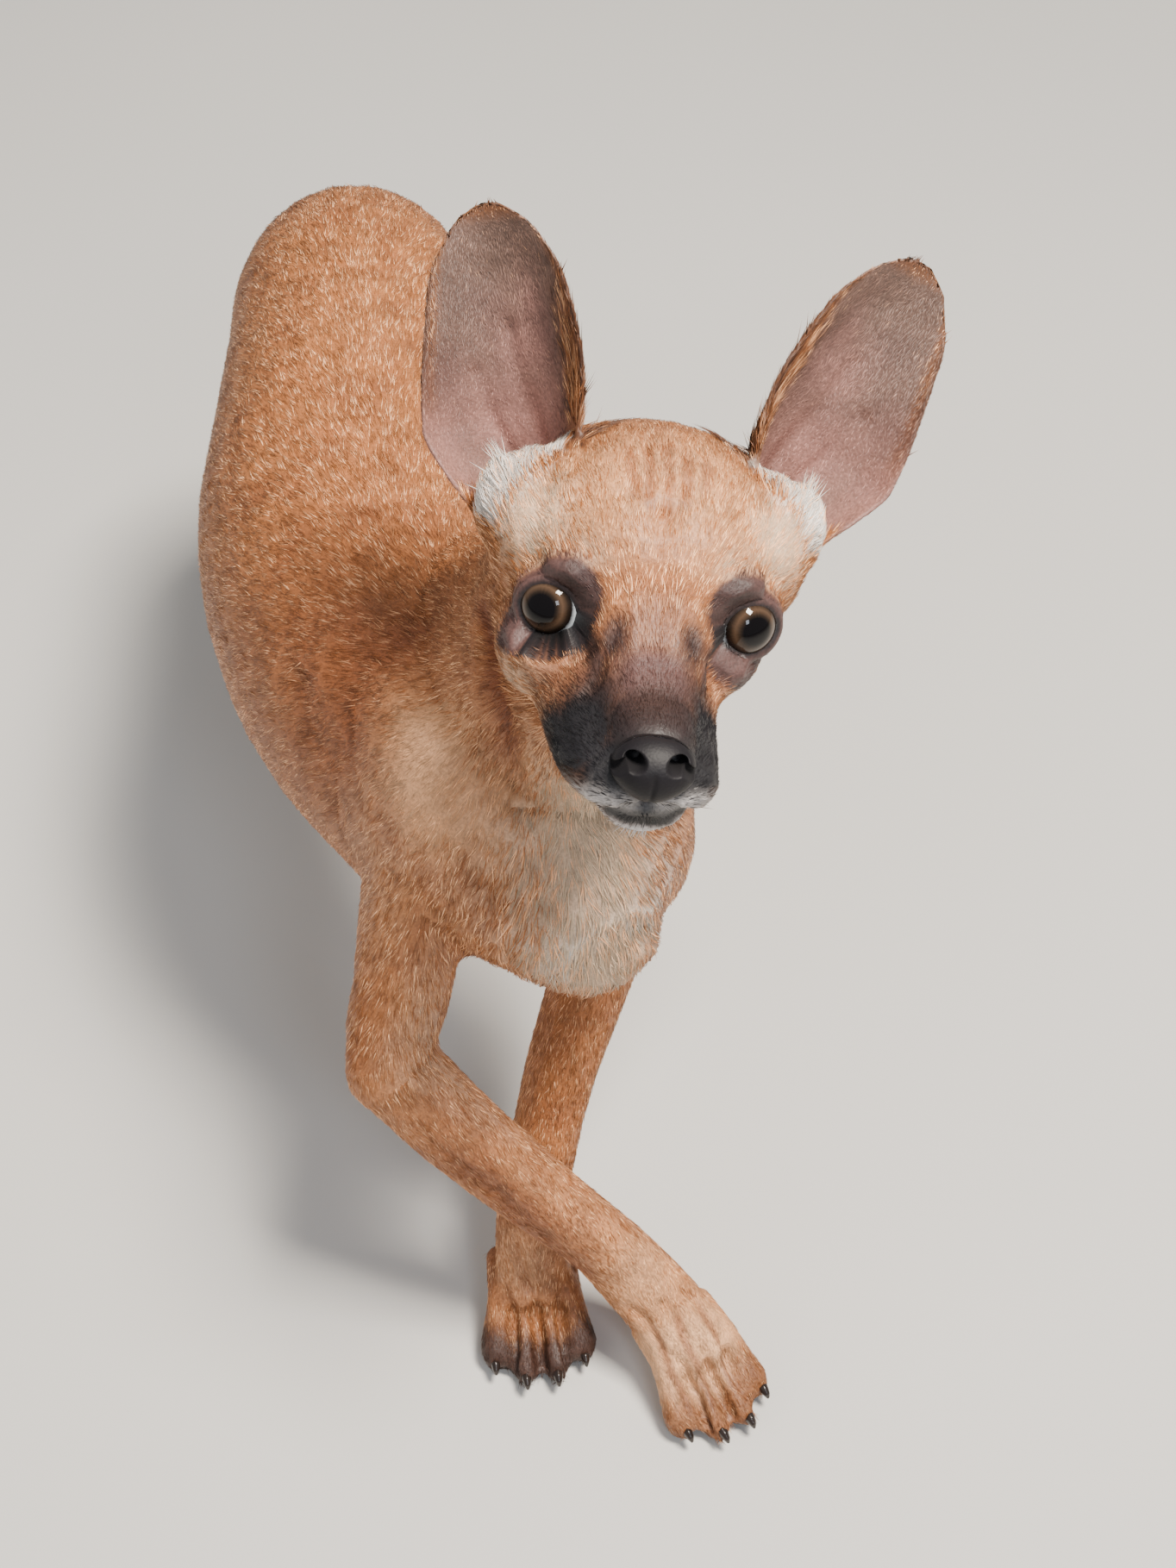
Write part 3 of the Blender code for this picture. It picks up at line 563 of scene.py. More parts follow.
def apply_modifiers(placed):
    """Replaces the object's mesh with what its modifiers make of it."""
    bpy.context.view_layer.update()
    graph = bpy.context.evaluated_depsgraph_get()
    mesh = bpy.data.meshes.new_from_object(placed.evaluated_get(graph))
    placed.modifiers.clear()
    old, placed.data = placed.data, mesh
    bpy.data.meshes.remove(old)


def points_of(mesh):
    points = np.empty(len(mesh.vertices) * 3)
    mesh.vertices.foreach_get("co", points)
    return points.reshape(-1, 3)


def normals_of(mesh):
    normals = np.empty(len(mesh.vertices) * 3, np.float32)
    mesh.vertex_normals.foreach_get("vector", normals)
    return normals.reshape(-1, 3).astype(float)


def edges_of(mesh):
    edges = np.empty(len(mesh.edges) * 2, np.int32)
    mesh.edges.foreach_get("vertices", edges)
    return edges.reshape(-1, 2)


def triangles_of(mesh):
    mesh.calc_loop_triangles()
    triangles = np.empty(len(mesh.loop_triangles) * 3, np.int32)
    mesh.loop_triangles.foreach_get("vertices", triangles)
    return triangles.reshape(-1, 3)


def move_points(mesh, points):
    mesh.vertices.foreach_set("co", points.ravel())
    mesh.update()


def neighbour_mean(values, edges, counts):
    """Each vertex's mean over its neighbours, column by column."""
    first, second = edges.T
    total = np.empty_like(values)
    for column in range(values.shape[1]):
        total[:, column] = np.bincount(first, values[second, column], len(values))
        total[:, column] += np.bincount(second, values[first, column], len(values))
    return total / counts[:, None]


def eased(values, edges, rounds, weight=0.5):
    """Values spread along the mesh by rounds of averaging."""
    counts = np.maximum(np.bincount(edges.ravel(), minlength=len(values)), 1)
    for _ in range(rounds):
        values = values + weight * (neighbour_mean(values, edges, counts) - values)
    return values


def faired(points, edges, rounds, pulls=(0.5, -0.52)):
    """Smooths away facets without shrinking: rounds is how many passes each vertex gets."""
    counts = np.maximum(np.bincount(edges.ravel(), minlength=len(points)), 1)
    for step in range(int(rounds.max())):
        active = (rounds > step)[:, None]
        for pull in pulls:
            moved = neighbour_mean(points, edges, counts) - points
            points = points + np.where(active, pull, 0) * moved
    return points


def unit(vectors):
    return vectors / np.maximum(np.linalg.norm(vectors, axis=-1, keepdims=True), 1e-12)


def tangent(vectors, normals):
    return unit(vectors - normals * np.sum(vectors * normals, axis=1, keepdims=True))


def smoothstep(low, high, values):
    share = np.clip((values - low) / (high - low), 0, 1)
    return share * share * (3 - 2 * share)


def in_frame(matrix, points):
    """Points in millimetres in the frame that the matrix places."""
    inverse = np.array(matrix.inverted())
    return (points @ inverse[:3, :3].T + inverse[:3, 3]) / MM


def box_centre(node):
    low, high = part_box(node)
    return (low + high) / 2


def head_frame():
    middle = (box_centre("eye_left") + box_centre("eye_right")) / 2
    return Matrix.Translation(middle) @ HEAD_SPIN @ Matrix.Translation((0, -EYE_CENTRE.y * MM, 0))


def eye_frame(side):
    """The eye's own frame: its centre, and Z out through the pupil."""
    centre = Vector((EYE_CENTRE.x * side, EYE_CENTRE.y, EYE_CENTRE.z)) * MM
    out = Vector((side * math.sin(EYE_OUTWARD), -math.cos(EYE_OUTWARD), EYE_LIFT))
    turn = out.to_track_quat("Z", "Y").to_matrix().to_4x4()
    return head_frame() @ Matrix.Translation(centre) @ turn


def part_name(node):
    """A node's name without its side."""
    return node.removesuffix("_left").removesuffix("_right")


def nearest_nodes(points):
    """For each point, the number in FLESH of the solid that it belongs to."""
    rows, owners = [], []
    for number, name in enumerate(FLESH):
        found = points_of(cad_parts[name].data)
        rows.append(found)
        owners += [number] * len(found)
    rows = np.vstack(rows)
    tree = KDTree(len(rows))
    for number, row in enumerate(rows):
        tree.insert(row, number)
    tree.balance()
    return np.array([owners[tree.find(point)[1]] for point in points])


def by_node(owners, table, other=0.0):
    """A value for each point from a table by part name."""
    return np.array([table.get(part_name(name), other) for name in FLESH])[owners]


def blobs(rows, points, combine):
    """Soft spots from rows of space, centre, radii, strength and whether they are mirrored."""
    spaces = {"head": in_frame(head_frame(), points), "body": points / MM}
    total = np.zeros(len(points))
    for space, centre, radii, strength, both in rows:
        for side in (1, -1) if both else (1,):
            place = np.array(centre) * (side, 1, 1)
            away = np.sum(((spaces[space] - place) / radii) ** 2, axis=1)
            total = combine(total, strength * np.exp(-(away**1.5)))
    return total


def bands(rows, points):
    """Bands of colour from rows of space, route, width, strength and whether they are mirrored."""
    spaces = {"head": in_frame(head_frame(), points), "body": points / MM}
    total = np.zeros(len(points))
    for space, route, width, strength, both in rows:
        for side in (1, -1) if both else (1,):
            near, away, along = near_route(spaces[space], np.array(route) * (side, 1, 1), width)
            ends = (1.0 if both else smoothstep(-1e-6, 0.12, along)) * smoothstep(-1e-6, 0.12, 1 - along)
            band = strength * ends * (1 - smoothstep(0.3 * width, width, away))
            total[near] = np.maximum(total[near], band)
    return total


def fused_flesh():
    """One closed mesh round every fleshy solid and the eyeballs."""
    bm = bmesh.new()
    for name in (*FLESH, "eye_left", "eye_right"):
        bm.from_mesh(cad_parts[name].data)
    bmesh.ops.remove_doubles(bm, verts=bm.verts, dist=1e-5)
    mesh = bpy.data.meshes.new("skin")
    bm.to_mesh(mesh)
    bm.free()
    skin = add_object("skin", mesh)
    swell = skin.modifiers.new("Swell", "DISPLACE")
    swell.strength = GROWTH * MM
    swell.mid_level = 0
    remesh = skin.modifiers.new("Fuse", "REMESH")
    remesh.mode = "VOXEL"
    remesh.voxel_size = VOXEL * MM
    apply_modifiers(skin)
    return skin


def route_distance(local, route):
    """How far each point is from a route of straight steps, and its share along the route."""
    route = np.array(route, float)
    best, along = np.full(len(local), 1e3), np.zeros(len(local))
    for number, (start, end) in enumerate(zip(route, route[1:])):
        step = end - start
        share = np.clip((local - start) @ step / (step @ step), 0, 1)
        away = np.linalg.norm(local - start - share[:, None] * step, axis=1)
        along = np.where(away < best, (number + share) / (len(route) - 1), along)
        best = np.minimum(best, away)
    return best, along


def settled(route, local):
    """The route with points between its own, each laid on the nearest of the local points."""
    route = np.array(route, float)
    parts = [np.linspace(start, end, 4, endpoint=False) for start, end in zip(route, route[1:])]
    steps = np.vstack([*parts, route[-1:]])
    laid = np.array([local[np.argmin(np.sum((local - step) ** 2, axis=1))] for step in steps])
    return laid[np.append(True, np.any(laid[1:] != laid[:-1], axis=1))]


def near_route(local, route, width):
    """The local points close to a route, how far they are from it and their share along it."""
    route, margin = np.array(route, float), width + 4
    inside = (local > route.min(axis=0) - margin) & (local < route.max(axis=0) + margin)
    near = np.flatnonzero(np.all(inside, axis=1))
    return near, *route_distance(local[near], settled(route, local[near]))


def groove(points, normals, local, route, width, depth, fade=(0.0, 0.0)):
    """Presses a crease into the skin along a route in the frame that the local points are in."""
    near, away, along = near_route(local, route, width)
    press = (1 - smoothstep(0, width, away)) * depth * MM
    press = press * smoothstep(-1e-6, fade[0], along) * smoothstep(-1e-6, fade[1], 1 - along)
    points[near] -= normals[near] * press[:, None]
    return points


def paw_frame(paw):
    """The paw's own frame: X to its left as it points, Y ahead and Z up, from where its toes spring."""
    spring, ahead, _ = PAW_FRAMES[paw]
    ahead = Vector(ahead).normalized()
    turn = Matrix((ahead.cross(Vector((0, 0, 1))), ahead, Vector((0, 0, 1)))).transposed().to_4x4()
    return Matrix.Translation(Vector(spring) * MM) @ turn


def gap_route(gap):
    """The route of the gap between two toes, fanning out ahead."""
    return [(gap * (1 + GAP_FAN * ahead / GAP_LENGTH), ahead, up) for ahead, up in GAP_ROUTE]


def opening_angle(clock, side):
    """Half angle of the lids' opening at each clock angle, wider to the inner corner, in degrees."""
    across, up = np.cos(clock) * side, np.sin(clock)
    angle = 1 / np.sqrt((across / 45.0) ** 2 + (up / np.where(up > 0, 38.0, 40.0)) ** 2)
    inner = np.arctan2(up + 0.3, -across)
    outer = np.arctan2(up + 0.1, across)
    return angle + 8 * np.exp(-((inner / 0.3) ** 2)) + 3 * np.exp(-((outer / 0.3) ** 2))


def past_lids(local, side):
    """How many degrees outside the lids' opening each point is, and how far from the eye's centre."""
    away = np.linalg.norm(local, axis=1)
    angle = np.degrees(np.arccos(np.clip(local[:, 2] / np.maximum(away, 1e-9), -1, 1)))
    return angle - opening_angle(np.arctan2(local[:, 1], local[:, 0]), side), away


def lids(points, side):
    """Shapes the lids close round the eyeball, with a rounded rim and a fold above and below."""
    matrix = eye_frame(side)
    local = in_frame(matrix, points)
    past, away = past_lids(local, side)
    heights = np.interp(past, (-60, -5, -1, 2, 6, 12, 40), (7.6, 7.8, 8.7, 9.4, 9.9, 10.1, 10.4))
    above = local[:, 1] > 0
    heights = heights - np.where(above, 0.9, 0.0) * np.exp(-(((past - 16) / 3.4) ** 2))
    heights = heights - np.where(above, 0.0, 0.5) * np.exp(-(((past - 19) / 4.0) ** 2))
    hold = (1 - smoothstep(14, 32, past)) * (1 - smoothstep(0.3, 3.5, np.abs(away - heights)))
    hold = np.maximum(hold, 1 - smoothstep(4, 9, past)) * (away < 16)
    radius = away * (1 - hold) + heights * hold
    local = local * (radius / np.maximum(away, 1e-9))[:, None] * MM
    place = np.array(matrix)
    return local @ place[:3, :3].T + place[:3, 3]


def ear_place(name, points, normals):
    """Where points lie on an ear: share of its length, place across it, if inside, its way up and out.

    The place across runs from -1 at the crown's side to 1 at the outer one."""
    base, tip, turn, length, side = EARS[name]
    up = (Vector(tip) - Vector(base)).normalized()
    ahead = Vector((side * math.sin(turn), -math.cos(turn), 0))
    ahead = (ahead - up * ahead.dot(up)).normalized()
    out = ahead.cross(up) * -side
    offset = in_frame(head_frame(), points) - np.array(base)
    share = offset @ np.array(up) / length
    shares, widths, curls, bows = (np.array(column) for column in zip(*EAR_OUTLINE))
    width = np.interp(share, shares, widths) * EAR_HALF_WIDTH
    curl = np.radians(np.interp(share, shares, curls))
    bow = np.interp(share, shares, bows) * EAR_HALF_WIDTH
    across, forward = offset @ np.array(out) - bow, offset @ np.array(ahead)
    bend = width / np.sin(curl)
    turn = np.array(head_frame().to_3x3())
    facing = normals @ turn
    inner = facing @ np.array(out) * across + facing @ np.array(ahead) * (forward - bend * np.cos(curl)) < 0
    return share, across / width, inner, turn @ np.array(up), turn @ np.array(out)


def ear_flat(name, share, across):
    """The place across and up the ear in millimetres, as its folds and colours are given."""
    return np.stack([across * EAR_HALF_WIDTH, share * EARS[name][3]], axis=1)


def shaped_skin():
    """Fuses, smooths and sculpts the skin, and sinks it by the depth of the coat."""
    skin = fused_flesh()
    mesh = skin.data
    points, edges = points_of(mesh), edges_of(mesh)
    owners = nearest_nodes(points)
    rounds = by_node(owners, {"head": SMOOTHING["head"], "ear": SMOOTHING["ear"]}, SMOOTHING["body"])
    is_paw = np.isin(owners, [FLESH.index(name) for name in PAWS])
    ankle = smoothstep(*ANKLE, points[:, 2] / MM)
    paw_rounds = SMOOTHING["paw"] + (SMOOTHING["ankle"] - SMOOTHING["paw"]) * ankle
    rounds = np.where(is_paw, paw_rounds, rounds)[:, None]
    points = faired(points, edges, eased(rounds, edges, 12)[:, 0])
    for name in EAR_NODES:
        mine = owners == FLESH.index(name)
        share = ear_place(name, points[mine], np.zeros((mine.sum(), 3)))[0]
        within = (np.cumsum(mine) - 1)[edges[mine[edges].all(axis=1)]]
        rounder = eased(points[mine], within, EAR_TIP_ROUNDS) - points[mine]
        points[mine] += rounder * smoothstep(0.72, 0.9, share)[:, None]
    near = np.isin(owners, LIMB_NUMBERS) & (np.abs(points[:, 2] / MM - WRIST) < WRIST_REACH)
    number = np.cumsum(near) - 1
    inside = number[edges[near[edges].all(axis=1)]]
    band = 1 - smoothstep(14, 24, np.abs(points[near, 2] / MM - WRIST))
    rounds = np.full(near.sum(), WRIST_ROUNDS)
    smoother = faired(points[near], inside, rounds, WRIST_PULLS) - points[near]
    points[near] += smoother * band[:, None]
    move_points(mesh, points)
    normals = normals_of(mesh)
    depth = by_node(owners, COAT_DEPTH, BODY_DEPTH)[:, None]
    depth = eased(depth, edges, 20)
    points = points - normals * (depth + GROWTH) * MM
    in_head = in_frame(head_frame(), points)
    for route, width, pressed, both in CREASES:
        for side in (1, -1) if both else (1,):
            turned = np.array(route) * (side, 1, 1)
            points = groove(points, normals, in_head, turned, width, pressed)
    for paw in PAWS:
        local = in_frame(paw_frame(paw), points)
        for gap in TOE_GAPS:
            points = groove(points, normals, local, gap_route(gap), GAP_WIDTH, GAP_DEPTH, fade=(0.7, 0.0))
    for route, width, pressed in FOLDS:
        points = groove(points, normals, points / MM, route, width, pressed, fade=(0.25, 0.25))
    for name in EAR_NODES:
        mine = np.flatnonzero(owners == FLESH.index(name))
        share, across, inner, up, out = ear_place(name, points[mine], normals[mine])
        tuck = smoothstep(0.26, -0.05, share) * smoothstep(-0.1, 1.0, across)
        points[mine] += (np.outer(tuck, up) * EAR_TUCK[1] - np.outer(tuck, out) * EAR_TUCK[0]) * MM
        mine, flat = mine[inner], ear_flat(name, share, across)[inner]
        for route, width, pressed in EAR_FOLDS:
            away, _ = route_distance(flat, route)
            points[mine] -= normals[mine] * ((1 - smoothstep(0, width, away)) * pressed * MM)[:, None]
    for side in (1, -1):
        points = lids(points, side)
    move_points(mesh, points)
    normals = normals_of(mesh)
    points = points + normals * blobs(BULGES, points, np.add)[:, None] * MM
    move_points(mesh, points)
    face = np.exp(-((np.linalg.norm(in_head, axis=1) / FACE_REACH) ** 4))
    fine = np.maximum(face, np.where(is_paw, 0.6, 0))
    fine = np.maximum(fine, by_node(owners, {"ear": 0.6}))
    group = skin.vertex_groups.new(name="thin")
    levels = np.round((1 - 0.93 * fine) * 10).astype(int)
    for level in np.unique(levels):
        group.add(np.flatnonzero(levels == level).tolist(), max(level, 0.5) / 10, "REPLACE")
    even = skin.modifiers.new("Triangles", "TRIANGULATE")
    even.min_vertices = 4
    thin = skin.modifiers.new("Thin", "DECIMATE")
    thin.ratio = SKIN_TRIANGLES / (2 * len(mesh.polygons))
    thin.vertex_group = "thin"
    apply_modifiers(skin)
    skin.vertex_groups.clear()
    skin.data.shade_smooth()
    return skin


def lie_of_hair(points, normals, owners, edges):
    """The way the hair runs over the skin at each vertex."""
    spots = np.array([place for place, _ in TRUNK_LIE]) * MM
    ways = unit(np.array([way for _, way in TRUNK_LIE], float))
    weights = 1 / (np.linalg.norm(points[:, None] - spots, axis=2) + 5 * MM) ** 4
    lie = unit(weights @ ways)
    source = np.array(head_frame() @ (Vector(HAIR_SOURCE) * MM))
    for number, name in enumerate(FLESH):
        mine = owners == number
        if name == "head":
            lie[mine] = unit(points[mine] - source)
        elif name in EAR_NODES:
            _, across, _, up, out = ear_place(name, points[mine], normals[mine])
            spread = across * smoothstep(0.6, 1.0, np.abs(across)) * 0.7
            lie[mine] = unit(up + out * spread[:, None])
        elif name in LIMB_LIE:
            lie[mine] = unit(np.array(LIMB_LIE[name], float))
    for _ in range(6):
        lie = tangent(eased(lie, edges, 4), normals)
    return lie


def write_values(mesh, name, values):
    kind, field = ("FLOAT_VECTOR", "vector") if values.ndim == 2 else ("FLOAT", "value")
    layer = mesh.attributes.new(name, kind, "POINT")
    layer.data.foreach_set(field, np.ascontiguousarray(values, np.float32).ravel())


def read_values(mesh, name):
    layer = mesh.attributes[name]
    wide = layer.data_type == "FLOAT_VECTOR"
    values = np.empty(len(layer.data) * (3 if wide else 1), np.float32)
    layer.data.foreach_get("vector" if wide else "value", values)
    return values.reshape(-1, 3).astype(float) if wide else values.astype(float)


def mark_skin(skin):
    """Writes the coat's markings, some of them painted light and shade, and its lie, length and cover on the
    skin.
    """
    mesh = skin.data
    points, normals, edges = points_of(mesh), normals_of(mesh), edges_of(mesh)
    owners = nearest_nodes(points)
    masks = {}
    for name in MARKING_NAMES:
        spots = blobs([row[1:] for row in MARKINGS if row[0] == name], points, np.maximum)
        masks[name] = np.maximum(spots, bands([row[1:] for row in BANDS if row[0] == name], points))
    cover = np.ones(len(points))
    in_head = in_frame(head_frame(), points)
    masks["black"] *= 1 - 0.9 * bands([("head", LIP_WHITE, 2.2, 1.0, True)], points)
    for side in (1, -1):
        local = in_frame(eye_frame(side), points)
        past, away = past_lids(local, side)
        near = away < EYE_REACH
        below = smoothstep(2, -4, local[:, 1])
        inward = smoothstep(0, 5, -local[:, 0] * side)
        start = 18 + 10 * below + 8 * inward * below
        stop = 27 + 14 * below + 12 * inward * below
        zone = 1 - smoothstep(start, stop, past)
        masks["black"] = np.maximum(masks["black"], (1 - smoothstep(2, 5, past)) * near)
        masks["mauve"] = np.maximum(masks["mauve"], zone * near)
        masks["smoke"] = np.maximum(masks["smoke"], zone * near * (0.3 + 0.5 * inward * (1 - below)))
        masks["cream"] = masks["cream"] * (1 - zone * near)
        cover = cover * np.where(near, smoothstep(7, 18, past), 1)
    nose = np.linalg.norm((in_head - NOSE_CENTRE) / (NOSE_HALF + np.array((0.2, 0, 0.2))), axis=1)
    cover = cover * smoothstep(0.98, 1.1, nose)
    cover = cover * (1 - bands([("head", MOUTH, 1.8, 1.0, True)], points))
    length = eased(by_node(owners, HAIR_LENGTH, 6.0)[:, None], edges, 24)[:, 0]
    for name in EAR_NODES:
        mine = np.flatnonzero(owners == FLESH.index(name))
        share, across, inner, _, _ = ear_place(name, points[mine], normals[mine])
        flat = ear_flat(name, share, across)
        low = 1 - smoothstep(0.3, 0.6, share)
        outer_low = smoothstep(0.3, 0.9, across) * (1 - smoothstep(0.25, 0.4, share))
        rim = np.clip(smoothstep(0.8, 0.95, np.abs(across)) + smoothstep(0.9, 0.98, share), 0, 1)
        rim = rim * (1 - 0.75 * outer_low)
        crown_edge = smoothstep(-0.58, -0.78, across) * (1 - smoothstep(0.5, 0.75, share))
        masks["taupe"][mine] = np.where(inner, 1 - rim, outer_low)
        masks["brown"][mine] = np.where(inner, np.maximum(rim, 0.45 * crown_edge), 0.35 + 0.5 * rim)
        masks["cream"][mine] = 0
        masks["pale"][mine] = np.where(inner, 0.3 * crown_edge * (1 - rim), 0)
        for label in ("pink", "mauve", "black", "smoke", "frost"):
            masks[label][mine] = 0
        masks["white"][mine] *= 1 - smoothstep(0.05, 0.16, share)
        for label, centre, radii, strength in EAR_SPOTS:
            spot = strength * np.exp(-np.sum(((flat - centre) / radii) ** 2, axis=1))
            masks[label][mine] = np.maximum(masks[label][mine], np.where(inner, spot * (1 - crown_edge), 0))
        masks["pink"][mine] = np.maximum(masks["pink"][mine], 0.8 * outer_low)
        masks["taupe"][mine] *= 1 - 0.6 * crown_edge
        bare = 0.3 + 0.7 * smoothstep(0.25, 0.6, share)
        cover[mine] = np.where(inner, np.maximum(bare, np.maximum(rim, crown_edge)), 1)
        length[mine] += np.where(inner, 3.2 * crown_edge + 1.0 * rim - 0.6 * low * (1 - crown_edge), 0)
        length[mine] -= 1.4 * smoothstep(0.8, 0.95, share)
    for paw, (_, _, darkness) in PAW_FRAMES.items():
        mine = np.flatnonzero(owners == FLESH.index(paw))
        local = in_frame(paw_frame(paw), points[mine])
        ends = smoothstep(11, 22, np.hypot(local[:, 1], 0.9 * local[:, 0])) * smoothstep(3, -7, local[:, 2])
        # Along the gaps between the toes the hair is darkened with brown and smoke: painted shade between
        # the toes.
        for gap in TOE_GAPS:
            near, away, along = near_route(local, gap_route(gap), GAP_SHADE)
            dark = 0.6 * (1 - smoothstep(0.4, GAP_SHADE, away)) * smoothstep(0.3, 0.7, along)
            ends[near] = np.maximum(ends[near], dark)
        masks["brown"][mine] = np.maximum(masks["brown"][mine], ends * darkness)
        masks["smoke"][mine] = np.maximum(masks["smoke"][mine], 0.4 * ends**2 * darkness)
        masks["pale"][mine] *= 1 - 0.8 * np.clip(ends, 0, 1)
    pads = (normals[:, 2] < -0.55) & (points[:, 2] < 4 * MM)
    cover = cover * ~pads
    masks["black"] = np.maximum(masks["black"], pads * 0.9)
    length = np.maximum(length + blobs(LONGER, points, np.add), 0.9)
    for name, values in masks.items():
        write_values(mesh, name, eased(np.clip(values, 0, 1)[:, None], edges, 1)[:, 0])
    write_values(mesh, "lie", lie_of_hair(points, normals, owners, edges))
    write_values(mesh, "length", length)
    wisp = np.clip(blobs(WISPS, points, np.maximum), 0, 1.5)
    wisp[owners == FLESH.index("tail")] = 0.8
    write_values(mesh, "wisp", wisp * cover)
    write_values(mesh, "cover", cover)
    write_values(mesh, "owner", owners.astype(float))


# The coat

FORELEGS = tuple(name for name in LIMB_NODES if "arm" in name)
HINDLEGS = tuple(name for name in LIMB_NODES if "lower" in name or "hind" in name)
# Coat pieces: name, parts of the body, side (+1 left, -1 right, 0 both), tufts for each square millimetre,
# whether they are the long wisps with a bend, and the seed
COAT = (
    ("coat_chest_right", ("chest",), -1, 1.5, False, 11),
    ("coat_chest_left", ("chest",), 1, 1.3, False, 12),
    ("coat_loin_right", ("loin", "thigh_right"), -1, 1.6, False, 13),
    ("coat_loin_left", ("loin", "thigh_left"), 1, 1.4, False, 14),
    ("coat_neck", ("neck", "tail"), 0, 2.2, False, 15),
    ("coat_head_right", ("head",), -1, 3.2, False, 16),
    ("coat_head_left", ("head",), 1, 3.2, False, 21),
    ("coat_ears", EAR_NODES, 0, 3.2, False, 17),
    ("coat_forelegs", FORELEGS, 0, 1.9, False, 18),
    ("coat_hindlegs", HINDLEGS, 0, 1.5, False, 19),
    ("coat_forepaws", ("forepaw_left", "forepaw_right"), 0, 2.6, False, 20),
    ("coat_wisps_body", ("chest", "loin", "neck", "tail"), 0, 1.0, True, 22),
    ("coat_wisps_head", ("head", *EAR_NODES), 0, 5.0, True, 23),
)
PIECE_LIMIT = 199000  # triangles in a piece
TUFT_TRIANGLES = {False: 4, True: 10}  # by whether the tuft has a bend
TRUNK_MIDDLE = -24 * MM
FLOOR_CLEARANCE = 0.2 * MM
WISP_STRETCH = 1.45  # length of a wisp next to the hair round it
WISP_THIN = 0.75
NORMAL_BLEND = 0.4  # how far a tuft's shading follows the skin under it
CLUMP_SHARE = 1.0  # how much of a strand's tone its lock shares
GUIDE_TRIANGLES = 9000
PATCH = 0.003  # side of each tuft's patch on the unwrap


def unwrapped_guide(skin):
    """A light copy of the skin with an unwrap of its own shape, for placing each tuft's patch."""
    guide = add_object("unwrap_guide", skin.data.copy())
    thin = guide.modifiers.new("Thin", "DECIMATE")
    thin.ratio = GUIDE_TRIANGLES / len(skin.data.polygons)
    apply_modifiers(guide)
    bpy.context.view_layer.objects.active = guide
    bpy.ops.object.mode_set(mode="EDIT")
    bpy.ops.mesh.select_all(action="SELECT")
    bpy.ops.uv.smart_project(angle_limit=math.radians(66), island_margin=0.004)
    bpy.ops.object.mode_set(mode="OBJECT")
    mesh = guide.data
    flat = np.empty(len(mesh.loops) * 2)
    mesh.uv_layers.active.data.foreach_get("uv", flat)
    corners = flat.reshape(-1, 3, 2)
    points, triangles = points_of(mesh), triangles_of(mesh)
    bpy.data.objects.remove(guide)
    return points, triangles, corners, BVHTree.FromPolygons(points.tolist(), triangles.tolist())


def unwrap_places(guide, roots):
    """Where each root lies on the guide's unwrap."""
    points, triangles, corners, tree = guide
    hits = [tree.find_nearest(root) for root in roots]
    faces = np.array([hit[2] for hit in hits])
    spots = np.array([hit[0] for hit in hits])
    a, b, c = (points[triangles[faces, corner]] for corner in range(3))
    across = np.cross(b - a, c - a)
    size = np.maximum(np.sum(across * across, axis=1), 1e-20)
    second = np.sum(np.cross(spots - a, c - a) * across, axis=1) / size
    third = np.sum(np.cross(b - a, spots - a) * across, axis=1) / size
    shares = np.clip(np.stack([1 - second - third, second, third], axis=1), 0, 1)
    shares /= shares.sum(axis=1, keepdims=True)
    return np.einsum("ij,ijk->ik", shares, corners[faces])


def scattered(mesh, chosen, cover, density, limit, chance):
    """Roots spread evenly over the chosen triangles: their triangle and their place in it."""
    points, triangles = points_of(mesh), triangles_of(mesh)[chosen]
    cover = read_values(mesh, cover)[triangles].mean(axis=1)
    a, b, c = (points[triangles[:, corner]] for corner in range(3))
    area = np.linalg.norm(np.cross(b - a, c - a), axis=1) / 2 / MM**2 * cover
    count = min(int(area.sum() * density), limit)
    marks = (np.arange(count) + chance.random(count)) / count * area.sum()
    drawn = np.searchsorted(np.cumsum(area), marks).clip(0, len(area) - 1)
    u, v = chance.random((2, count))
    u, v = np.where(u + v > 1, 1 - u, u), np.where(u + v > 1, 1 - v, v)
    return triangles[drawn], np.stack([1 - u - v, u, v], axis=1)


